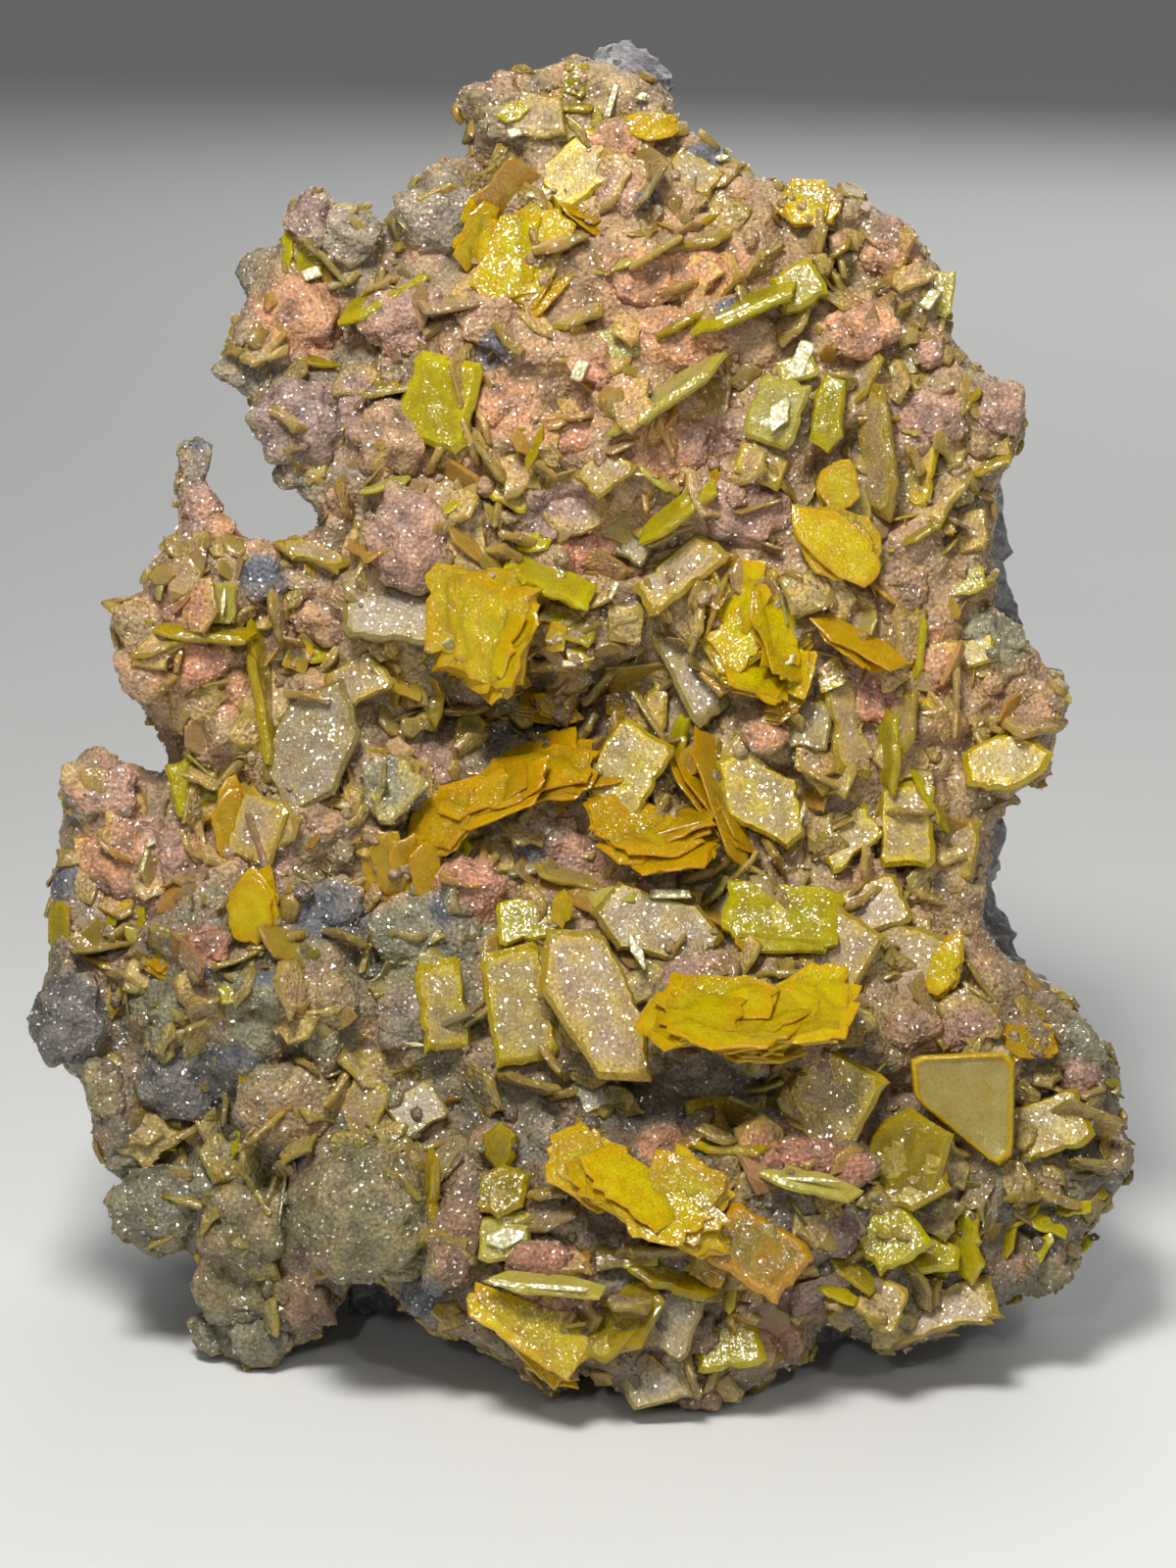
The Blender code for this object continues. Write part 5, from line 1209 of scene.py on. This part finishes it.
def tablet(rng, shape, length, width, thickness, look, spacing=0.7, ragged=0.35, relief=0.2):
    """Points, faces, colours and material slots of one tabular crystal lying in its own plane."""
    rim_colour, face_colour, coated = look
    shade = rng.uniform(0.86, 1.1)
    rim_colour, face_colour = np.array(rim_colour) * shade, np.array(face_colour) * shade
    step = 1.2 * spacing if spacing else 0.4 * width
    edge = outline_points(rng, shape, length, width, step, ragged)
    bevel = min(0.35 * thickness, 0.1 * width)
    face_edge = edge * (1.0 - 2 * bevel / min(length, width))
    flat, triangles = sheet(rng, face_edge, spacing)
    seed = Vector((rng.random() * 50, rng.random() * 50, rng.random() * 50))
    half = thickness / 2
    count, total = len(edge), len(flat)
    steps = noise_field(flat, 0.5, seed)
    steps = np.round(steps * 3.0) / 3.0 + 0.4 * steps
    ripples = noise_field(flat, 1.3, seed * 2.0)
    curl = rng.uniform(-0.6, 0.6) * relief * (2 * flat[:, 0] / length) ** 2
    distance = rim_distance(flat, face_edge)
    fade = np.clip(distance / 1.2, 0.25, 1.0)
    swell = relief * (steps + 0.5 * ripples) * fade
    upper = np.column_stack((flat, half + swell + curl))
    lower = np.column_stack((flat, -half - swell + curl))
    edge_curl = curl[:count]
    high = np.column_stack((edge, half - bevel + edge_curl))
    low = np.column_stack((edge, -half + bevel + edge_curl))
    points = np.concatenate((upper, lower, high, low))
    ring = np.arange(count)
    following = np.roll(ring, -1)
    faces = [triangles, triangles[:, ::-1] + total]
    bands = ((2 * total, 0), (2 * total + count, 2 * total), (total, 2 * total + count))
    for first, second in bands:
        faces.append(np.stack((first + ring, first + following, second + following), axis=1))
        faces.append(np.stack((first + ring, second + following, second + ring), axis=1))
    faces = np.concatenate(faces)
    patches = noise_field(flat, 0.45, seed * 3.0)
    rim_width = np.clip(0.5 + 1.6 * noise_field(flat, 0.3, seed * 4.0), 0.12, 1.6)
    cover = np.clip((distance - 0.1) / rim_width, 0.0, 1.0) * np.clip(0.85 + patches, 0.0, 1.0)
    cover = np.concatenate((cover, cover, np.zeros(2 * count)))
    colours = rim_colour + (face_colour - rim_colour) * cover[:, None]
    shades = np.array([rng.uniform(0.92, 1.08) for _ in points])
    colours = colours * shades[:, None]
    coats = np.clip(distance / rim_width, 0.0, 1.0) * (coated * 1.6 - 0.6 + patches * 0.8)
    coats = np.concatenate((coats, coats, np.full(2 * count, -1.0)))
    slots = (coats[faces].mean(axis=1) > 0.12).astype(int)
    return points, faces, colours, slots


def turned(points, matrix):
    """Points in millimetres moved by a matrix whose translation is in metres."""
    rotation = np.array(matrix.to_3x3())
    return points * MM @ rotation.T + np.array(matrix.translation)


def plate_matrix(x, y, depth, turn, lean, nod):
    """Where a plate lies and how it is turned, from its row in a table."""
    axes = Matrix((RIGHT, UP, TOWARDS)).transposed()
    spin = (Matrix.Rotation(math.radians(turn), 3, "Z") @ Matrix.Rotation(-math.radians(nod), 3, "Y")
            @ Matrix.Rotation(-math.radians(lean), 3, "X"))
    matrix = (axes @ spin).to_4x4()
    matrix.translation = place(x, y, depth)
    return matrix


def lift_above_hills(tree, plates):
    """How far the crust's lumps stand above its broad hills, on average, under some plates."""
    lifts = []
    for plate in plates:
        x, y, length, width = plate[0], plate[1], plate[3], plate[4]
        reach = 0.25 * min(length, width)
        for step_x, step_y in ((0, 0), (reach, 0), (-reach, 0), (0, reach), (0, -reach)):
            start = place(x + step_x, y + step_y, 60.0)
            sight = (place(x + step_x, y + step_y, -60.0) - start).normalized()
            hit = tree.ray_cast(start, sight)[0]
            if hit:
                depth = (hit / MM + ORIGIN - CENTRE).dot(TOWARDS)
                lifts.append(depth - face_depth(x, y))
    return sum(lifts) / len(lifts) if lifts else 0.0


def leaves_of(rng, plate, look):
    """A plate as thin leaves lying on each other, where the crystal is a layered one."""
    x, y, out, length, width, thickness, turn, lean, nod, shape = plate
    if look not in LAYERED_LOOKS or thickness > 2:
        return [plate]
    leaves = []
    for level in (-0.4, -0.13, 0.13, 0.4):
        slide = 0.08 * length
        leaves.append((x + rng.uniform(-slide, slide), y + rng.uniform(-0.5, 0.5),
                       out + level * thickness, length * rng.uniform(0.68, 1.02),
                       width * rng.uniform(0.68, 1.02),
                       0.3 * thickness, turn + rng.uniform(-11, 11), lean + rng.uniform(-8, 8),
                       nod + rng.uniform(-3, 3), shape))
    return leaves


def make_crystals(solid_tree):
    """The larger crystals, one piece for each of their solids."""
    rng = random.Random(21)
    pieces = []
    for node, (look, plates) in CRYSTALS.items():
        lift = lift_above_hills(solid_tree, plates)
        heap = Heap()
        for plate in plates:
            for x, y, out, length, width, thickness, turn, lean, nod, shape in leaves_of(
                    rng, plate, look):
                ragged = 0.8 if len(plates) > 2 else 0.45
                matrix = plate_matrix(x, y, face_depth(x, y) + lift + out, turn, lean, nod)
                points, faces, colours, slots = tablet(
                    rng, shape, length, width, thickness, LOOKS[look], ragged=ragged,
                    relief=0.16 * thickness ** 0.5)
                heap.add(turned(points, matrix), faces, colours, slots)
        name = node.replace("wulfenite_", "") + "_crystal"
        piece = heap.make(name, (CLEAR, FROSTED), "wulfenite", smooth=True, crease=CREASE)
        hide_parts(node)
        pieces.append(piece)
    return pieces


def make_triangle():
    """The triangular crystal: a bevelled clear rim round a slightly sunken face."""
    corners = [Vector(corner) for corner in TRIANGLE_CORNERS]
    middle = sum(corners, Vector((0.0, 0.0))) / len(corners)
    depth = face_depth(middle.x, middle.y) + TRIANGLE_OUT
    edge = []
    for index, corner in enumerate(corners):
        following = corners[(index + 1) % len(corners)]
        for share in (0.1, 0.3, 0.5, 0.7, 0.9):
            spot = corner.lerp(following, share)
            tilt = TRIANGLE_TILT[0] * (spot.x - middle.x) + TRIANGLE_TILT[1] * (spot.y - middle.y)
            edge.append((spot, tilt))
    levels = ((0.5, -6.0), (0.93, -2.6), (0.99, -2.0), (1.0, -1.1), (0.98, -0.4), (0.95, -0.05),
              (0.91, 0.0), (0.88, -0.3), (0.85, -0.45), (0.4, -0.4))
    rim, face = np.array(srgb(226, 188, 14)), np.array(srgb(192, 176, 96))
    points, colours, faces = [], [], []
    count = len(edge)
    for scale, drop in levels:
        for spot, tilt in edge:
            here = middle + (spot - middle) * scale
            points.append(place(here.x, here.y, depth + drop + tilt * scale))
            colours.append(rim if scale > 0.86 or drop < -1.0 else face)
    for ring in range(len(levels) - 1):
        for i in range(count):
            j = (i + 1) % count
            a, b = ring * count + i, ring * count + j
            faces.append((a, a + count, b + count))
            faces.append((a, b + count, b))
    for first, turn_over in ((0, False), ((len(levels) - 1) * count, True)):
        for i in range(1, count - 1):
            face = (first, first + i, first + i + 1)
            faces.append(face[::-1] if turn_over else face)
    heap = Heap()
    heap.add(np.array(points), faces, np.array(colours), 0)
    piece = heap.make("triangle_crystal", (CLEAR,), "wulfenite", smooth=True, crease=60.0)
    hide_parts("wulfenite_triangle")
    return piece


def make_smaller_crystals(crust_tree):
    """Smaller crystals placed one by one, in one piece for each look."""
    rng = random.Random(71)
    heaps = {}
    for x, y, out, length, width, turn, lean, look, shape in SMALLER_CRYSTALS:
        thickness = min(1.1, max(0.35, 0.11 * length))
        depth = depth_at(crust_tree, x, y) + out - 0.8
        heap = heaps.setdefault(look, Heap())
        lean = lean + rng.uniform(-8, 8)
        plate = (x, y, 0.0, length, width, thickness, turn, lean, rng.uniform(-6, 10), shape)
        for leaf in leaves_of(rng, plate, look):
            matrix = plate_matrix(leaf[0], leaf[1], depth + leaf[2], *leaf[6:9])
            points, faces, colours, slots = tablet(
                rng, shape, leaf[3], leaf[4], leaf[5], LOOKS[look], ragged=0.07 * length,
                relief=0.14 * thickness ** 0.5)
            heap.add(turned(points, matrix), faces, colours, slots)
    return [heap.make("smaller_" + look + "_crystals", (CLEAR, FROSTED), "wulfenite", smooth=True,
                      crease=CREASE)
            for look, heap in heaps.items()]


def depth_at(tree, x, y):
    """How far out the front of a surface lies on the line of sight through (x, y)."""
    start = place(x, y, 60.0)
    hit = tree.ray_cast(start, (place(x, y, -60.0) - start).normalized())[0]
    if hit is None:
        return face_depth(x, y)
    return (hit / MM + ORIGIN - CENTRE).dot(TOWARDS)


def make_glint_faces(crust_tree):
    """Small flat faces, each turned so that it mirrors the key light to the viewer."""
    rng = random.Random(72)
    heap = Heap()
    # Near-white colour: a painted highlight added to the real mirror glint of the key light
    colour = np.array(srgb(214, 208, 150))
    eye = place(0.0, LAYOUT_MIDDLE, VIEW_DISTANCE)
    for x, y, out, length, width, turn in GLINT_FACES:
        middle = place(x, y, depth_at(crust_tree, x, y) + out - 0.6)
        to_eye, to_key = (eye - middle).normalized(), (Vector(KEY_PLACE) - middle).normalized()
        normal = (to_eye + to_key).normalized()
        spin = math.radians(turn)
        along = RIGHT * math.cos(spin) + UP * math.sin(spin)
        along = (along - normal * along.dot(normal)).normalized()
        matrix = Matrix((along, normal.cross(along), normal)).transposed().to_4x4()
        matrix.translation = middle
        points, faces, colours, _ = tablet(
            rng, rng.choice((SQUARE, KITE)), length * 0.9, width * 0.75, 0.3, LOOKS["pale"],
            spacing=None, ragged=0.05 * width, relief=0.0)
        heap.add(turned(points, matrix), faces, colours * 0.3 + colour * 0.7, 0)
    return heap.make("glint_faces", (POLISHED,), "wulfenite")


# Small blades and balls spread over the crust

def share_left(x, y):
    """The share of blades that a place keeps."""
    left = 1.0
    for *ellipse, taken in BARE_PLACES:
        left *= 1.0 - taken * math.exp(-ellipse_reach(x, y, ellipse))
    return left


def is_empty(x, y):
    """Whether nothing grows at a place."""
    return any(ellipse_reach(x, y, ellipse) < 1.0 for ellipse in EMPTY_PLACES)


def edge_scale(x, y):
    """How much smaller things grow where they would stand out past the crust's edge."""
    return min(1.0, max(0.35, 0.4 + 0.6 * inset(x, y) / EDGE_BAND))


def standing_matrix(rng, spot, normal, width, sink, low=False):
    """A frame for a plate that grows at a random angle out of the crust."""
    normal = Vector(normal)
    tangent = normal.orthogonal().normalized()
    tangent.rotate(Matrix.Rotation(rng.uniform(0, 2 * math.pi), 3, normal))
    standing = rng.random() < STANDING_SHARE and not low
    slope = math.radians(rng.uniform(45, 88) if standing else rng.uniform(6, 35))
    side = normal.cross(tangent)
    face_normal = (normal * math.cos(slope) + side * math.sin(slope)).normalized()
    matrix = Matrix((tangent, face_normal.cross(tangent), face_normal)).transposed().to_4x4()
    rise = (0.5 - sink) * width * math.sin(slope)
    matrix.translation = Vector(spot) + normal * rise * MM
    return matrix


def make_blades(crust, count, seed, name, small, large, spacing, sink):
    """Blades of wulfenite scattered over the crust, from small to large in millimetres."""
    rng = random.Random(seed)
    spots, normals = random_places(crust, count * 3, np.random.default_rng(seed))
    back = on_back(spots, normals)
    x, y, _ = layout_of(spots)
    base = region_colours(spots, np.random.default_rng(seed), 0.08)
    # Painted shade towards the foot, also laid on the blades' own colours
    shade = painted_foot_shade(y)
    heap = Heap()
    made = 0
    looks = ("green", "olive", "orange", "bright", "druse", "tan", "grey", "pale")
    chances = (3, 2, 5, 6, 8, 12, 4, 4)
    for index in range(len(spots)):
        facing = normals[index] @ np.array(TOWARDS)
        if back[index] or facing < -0.5 or rng.random() > share_left(x[index], y[index]):
            continue
        if is_empty(x[index], y[index]):
            continue
        scale = edge_scale(x[index], y[index])
        length = scale * small * (large / small) ** (rng.random() ** 1.6)
        width = length * rng.uniform(0.35, 0.8)
        thickness = min(0.7, max(0.2, length * rng.uniform(0.06, 0.11)))
        look = rng.choices(looks, chances)[0]
        points, faces, colours, slots = tablet(
            rng, rng.choice(SHAPES), length, width, thickness, LOOKS[look], spacing=spacing,
            ragged=0.08 * length, relief=0.1)
        own = 0.25 if look in ("druse", "tan", "grey") else 0.6
        colours = colours * own * shade[index] + base[index] * (1.0 - own)
        matrix = standing_matrix(rng, spots[index], normals[index], width, sink, scale < 0.9)
        heap.add(turned(points, matrix), faces, colours, slots)
        made += 1
        if made == count:
            break
    return heap.make(name, (CLEAR, FROSTED), "wulfenite")


def make_coated_plates(crust, count, seed, name):
    """Plates covered by mimetite in the crust's own colours, with clear rims."""
    rng = random.Random(seed)
    rim_yellow = np.array(COATED_RIM_COLOUR)
    array_rng = np.random.default_rng(seed)
    spots, normals = random_places(crust, count * 3, array_rng)
    back = on_back(spots, normals)
    base = region_colours(spots, array_rng, 0.12)
    x, y, _ = layout_of(spots)
    heap = Heap()
    made = 0
    for index in range(len(spots)):
        if back[index] or is_empty(x[index], y[index]):
            continue
        scale = edge_scale(x[index], y[index])
        length = scale * rng.uniform(2.4, 7.5)
        width = length * rng.uniform(0.55, 0.95)
        thickness = rng.uniform(0.5, 0.9)
        rim = base[index] * (1.0 - COATED_RIM) + rim_yellow * COATED_RIM
        points, faces, colours, slots = tablet(
            rng, rng.choice(SHAPES), length, width, thickness, (rim, base[index], 1.1),
            spacing=1.0, ragged=0.12 * length, relief=0.2)
        matrix = standing_matrix(rng, spots[index], normals[index], width, 0.3, scale < 0.9)
        seed_point = Vector((rng.random() * 90, rng.random() * 90, rng.random() * 90))
        lumps = np.array([wander(Vector(p) * 0.8 + seed_point) for p in points])
        points = turned(points + lumps * 0.22, matrix)
        shade = 1.0 + 0.25 * lumps[:, :1]
        heap.add(points, faces, colours * shade, slots)
        made += 1
        if made == count:
            break
    return heap.make(name, (CLEAR, CRUST), "mimetite", smooth=True, crease=50.0)


def pulled_in(x, y, reach):
    """The nearest place, roughly, that lies at least reach inside the crust's edge."""
    for _ in range(12):
        if inset(x, y) >= reach:
            break
        slope = Vector((inset(x + 0.5, y) - inset(x - 0.5, y), inset(x, y + 0.5) - inset(x, y - 0.5)))
        step = slope.normalized() * 0.4
        x, y = x + step.x, y + step.y
    return x, y


def make_lumps(crust_tree):
    """The knobbly aggregates of mimetite, each in its own colour, with painted shade between the knobs."""
    rng = random.Random(81)
    array_rng = np.random.default_rng(81)
    balls = {level: ball_points(level) for level in (3, 4)}
    heap = Heap()
    for x, y, half_width, half_height, name in LUMPS:
        unit, unit_faces = balls[4 if min(half_width, half_height) > 2.3 else 3]
        x, y = pulled_in(x, y, 0.8 * min(half_width, half_height))
        depth = depth_at(crust_tree, x, y)
        seed_point = Vector((rng.random() * 90, rng.random() * 90, rng.random() * 90))
        cell = 0.9 if name in ("olive", "moss") else 1.3
        size = np.array((half_width, half_height, 0.5 * min(half_width, half_height)))
        heights = []
        for corner in unit * size:
            spot = Vector(corner) + seed_point
            warp = wander(spot * 0.6) * 0.5
            nearest = noise.voronoi((spot + warp) / cell)[0][0]
            broad = noise.noise(spot * 0.45)
            heights.append(0.45 * max(0.0, 1.0 - (nearest / 0.7) ** 2) + 1.1 * broad)
        heights = np.array(heights)
        share = 1.0 + (heights - 0.2) / (0.5 * (half_width + half_height))
        local = unit * size * share[:, None]
        matrix = plate_matrix(x, y, depth - 0.35 * size[2], rng.uniform(-20, 20), 0, 0)
        # Painted shade between the knobs and painted light on their tops, taken from the knobs' heights
        shade = np.clip(0.74 + 0.6 * heights, 0.42, 1.15)[:, None]
        points = turned(local, matrix)
        heap.add(points, unit_faces, region_colours(points, array_rng, 0.05) * shade, 0)
    return heap.make("mimetite_lumps", (CRUST,), "mimetite", smooth=True)


def ball_points(subdivisions):
    """Points and faces of a ball with a radius of 1."""
    bm = bmesh.new()
    bmesh.ops.create_icosphere(bm, subdivisions=subdivisions, radius=1.0)
    bm.verts.ensure_lookup_table()
    points = np.array([vert.co for vert in bm.verts])
    faces = np.array([[vert.index for vert in face.verts] for face in bm.faces])
    bm.free()
    return points, faces


def knob_shape(rng, unit, radius, spot, shift, colour):
    """An uneven little ball: its points in metres, and its colours with painted shade in its dents."""
    stretch = np.array([rng.uniform(0.7, 1.3) for _ in range(3)])
    seed_point = Vector((rng.random() * 90, rng.random() * 90, rng.random() * 90))
    bumps = np.array([1.0 + 0.5 * noise.noise(Vector(p) * 1.7 + seed_point) for p in unit])
    points = unit * stretch * (radius * bumps)[:, None] * MM + spot + shift
    # Painted shade: colour darker where the ball is pushed in and lighter where it bulges
    return points, (0.8 + 0.4 * (bumps - 0.8))[:, None] * colour


def make_collars(crystals, crust_tree, count, seed, name):
    """Knobs of mimetite that grow over the crystals where they meet the crust."""
    rng = random.Random(seed)
    array_rng = np.random.default_rng(seed)
    unit, unit_faces = ball_points(2)
    sizes = [len(piece.data.polygons) for piece in crystals]
    heap = Heap()
    for piece, size in zip(crystals, sizes):
        spots, _ = random_places(piece, max(4, round(count * size / sum(sizes))), array_rng)
        colours = region_colours(spots, array_rng, 0.14)
        for spot, colour in zip(spots, colours):
            if crust_tree.find_nearest(Vector(spot), COLLAR_REACH * MM)[0] is None:
                continue
            radius = 0.3 * (1.0 / 0.3) ** (rng.random() ** 2)
            points, shades = knob_shape(rng, unit, radius, spot, 0.0, colour)
            heap.add(points, unit_faces, shades, 0)
    return heap.make(name, (CRUST,), "mimetite", smooth=True)


def make_balls(crust, count, seed, name, small, large, subdivisions):
    """Little balls of mimetite scattered over the crust, with radii from small to large."""
    rng = random.Random(seed)
    array_rng = np.random.default_rng(seed)
    spots, normals = random_places(crust, count * 3, array_rng)
    back = on_back(spots, normals)
    base = region_colours(spots, array_rng, 0.14)
    unit, unit_faces = ball_points(subdivisions)
    x, y, _ = layout_of(spots)
    heap = Heap()
    made = 0
    for index in range(len(spots)):
        if back[index] or is_empty(x[index], y[index]):
            continue
        radius = edge_scale(x[index], y[index]) * small * (large / small) ** (rng.random() ** 2)
        shift = normals[index] * radius * 0.1 * MM
        points, shades = knob_shape(rng, unit, radius, spots[index], shift, base[index])
        heap.add(points, unit_faces, shades, 0)
        made += 1
        if made == count:
            break
    return heap.make(name, (CRUST,), "mimetite", smooth=True)


# A tiny four-sided crystal
GRAIN_CORNERS = np.array(((0.0, 0.0, 1.0), (0.94, 0.0, -0.33), (-0.47, 0.82, -0.33),
                          (-0.47, -0.82, -0.33)))
GRAIN_FACES = np.array(((0, 1, 2), (0, 2, 3), (0, 3, 1), (1, 3, 2)))


def coated_area(part):
    """Area of an object's coated faces, in square metres."""
    return sum(face.area for face in part.data.polygons if face.material_index == 1)


def make_grains(carriers, count, seed, name, sizes, slot=None, mottle=0.3, paleness=0.5):
    """Tiny crystals over the crust and the coated plates."""
    rng = np.random.default_rng(seed)
    spots, colours = [], []
    whole = sum(share for _, share in carriers)
    for part, share in carriers:
        places, directions = random_places(part, int(count * share / whole), rng, slot)
        kept = ~on_back(places, directions)
        spots.append(places[kept])
        colours.append(region_colours(places[kept], rng, mottle))
    spots, colours = np.concatenate(spots), np.concatenate(colours)
    quaternions = rng.normal(size=(len(spots), 4))
    quaternions /= np.linalg.norm(quaternions, axis=1)[:, None]
    w, x, y, z = quaternions.T
    rotations = np.stack((
        1 - 2 * (y * y + z * z), 2 * (x * y - z * w), 2 * (x * z + y * w),
        2 * (x * y + z * w), 1 - 2 * (x * x + z * z), 2 * (y * z - x * w),
        2 * (x * z - y * w), 2 * (y * z + x * w), 1 - 2 * (x * x + y * y)), axis=1)
    rotations = rotations.reshape(-1, 3, 3)
    scales = rng.uniform(*sizes, (len(spots), 1, 1)) * rng.uniform(0.7, 1.4, (len(spots), 1, 3))
    corners = np.einsum("nij,nkj->nki", rotations, GRAIN_CORNERS * scales)
    points = corners * MM + spots[:, None, :]
    firsts = np.arange(len(spots)) * len(GRAIN_CORNERS)
    faces = (GRAIN_FACES[None, :, :] + firsts[:, None, None]).reshape(-1, 3)
    # Pale grains: partly pale crystals of the druse, partly painted sparkle
    pale = rng.random(len(spots)) < PALE_SHARE
    colours[pale] = colours[pale] * (1.0 - paleness) + 0.75 * paleness
    heap = Heap()
    heap.add(points.reshape(-1, 3), faces, np.repeat(np.clip(colours, 0, 1), 4, axis=0), 0)
    return heap.make(name, (GRAIN,), "mimetite")


# Floor, light and camera

def make_floor():
    bpy.ops.mesh.primitive_plane_add(size=12.0, location=(0.0, 0.0, 0.0))
    floor = bpy.context.object
    floor.name = "floor"
    material = new_material("pale_floor")
    shader = shader_of(material)
    shader.inputs["Base Color"].default_value = (0.72, 0.72, 0.71, 1.0)
    shader.inputs["Roughness"].default_value = 0.7
    floor.data.materials.append(material)


def add_light(name, location, target, size, power, colour=(1.0, 1.0, 1.0)):
    light = bpy.data.lights.new(name, "AREA")
    light.size = size
    light.energy = power
    light.color = colour
    lamp = bpy.data.objects.new(name, light)
    lamp.location = location
    lamp.rotation_euler = (Vector(target) - Vector(location)).to_track_quat("-Z", "Y").to_euler()
    bpy.context.scene.collection.objects.link(lamp)


def make_lights():
    middle = (0.0, 0.0, 0.065)
    add_light("key", KEY_PLACE, middle, 0.09, 1.5, (1.0, 0.985, 0.95))
    add_light("sparkle_left", (-0.10, -0.52, 0.30), middle, 0.02, 0.3)
    add_light("sparkle_right", (0.16, -0.46, 0.38), middle, 0.02, 0.3)
    add_light("fill", (0.55, -0.35, 0.25), middle, 0.5, 0.14, (0.95, 0.98, 1.0))
    add_light("back", (0.30, 0.90, 0.70), middle, 0.9, 4.5)
    sun = bpy.data.lights.new("soft_sky", "SUN")
    sun.energy = 0.3
    sun.angle = math.radians(25.0)
    lamp = bpy.data.objects.new("soft_sky", sun)
    lamp.rotation_euler = (math.radians(20.0), math.radians(-14.0), 0.0)
    bpy.context.scene.collection.objects.link(lamp)
    world = bpy.data.worlds.new("studio")
    bpy.context.scene.world = world
    world.use_nodes = True
    background = world.node_tree.nodes["Background"]
    background.inputs["Color"].default_value = (0.88, 0.89, 0.9, 1.0)
    background.inputs["Strength"].default_value = 0.1


def make_camera():
    data = bpy.data.cameras.new("camera")
    data.lens = CAMERA_LENS
    data.sensor_width = 36.0
    data.clip_start = 0.01
    camera = bpy.data.objects.new("camera", data)
    matrix = Matrix((RIGHT, UP, TOWARDS)).transposed().to_4x4()
    matrix.translation = (CENTRE + TOWARDS * VIEW_DISTANCE - ORIGIN) * MM
    camera.matrix_world = matrix
    bpy.context.scene.collection.objects.link(camera)
    bpy.context.scene.camera = camera


solid_tree = tree_of(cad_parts["mimetite_crust"])
crust = make_crust()
make_rock()
crust_tree = tree_of(crust)
crystals = make_crystals(solid_tree)
make_triangle()
crystals += make_smaller_crystals(crust_tree)
make_glint_faces(crust_tree)
lumps = make_lumps(crust_tree)
coated = make_coated_plates(crust, COATED_PLATE_COUNT, 51, "mimetite_coated_plates")
balls = make_balls(crust, BALL_COUNT, 32, "mimetite_small_balls",
                   small=0.5, large=1.3, subdivisions=2)
make_collars(crystals, crust_tree, COLLAR_COUNT, 91, "mimetite_collars")
crystals.append(make_blades(crust, BLADE_COUNT, 41, "wulfenite_blades",
                            small=2.8, large=8.0, spacing=1.4, sink=0.38))
make_blades(crust, SMALL_BLADE_COUNT, 42, "wulfenite_small_blades",
            small=1.0, large=3.4, spacing=None, sink=0.4)
make_grains(((crust, 0.5), (coated, 0.2), (balls, 0.07), (lumps, 0.23)), GRAIN_COUNT, 61,
            "mimetite_grains", sizes=(0.13, 0.3))
coats = [(piece, coated_area(piece)) for piece in crystals]
make_grains([(piece, area) for piece, area in coats if area > 0.0], COAT_GRAIN_COUNT, 62,
            "sugary_coats", sizes=(0.06, 0.14), slot=1, mottle=0.15, paleness=0.35)
make_floor()
make_lights()
make_camera()
bpy.context.scene.view_settings.view_transform = "Standard"
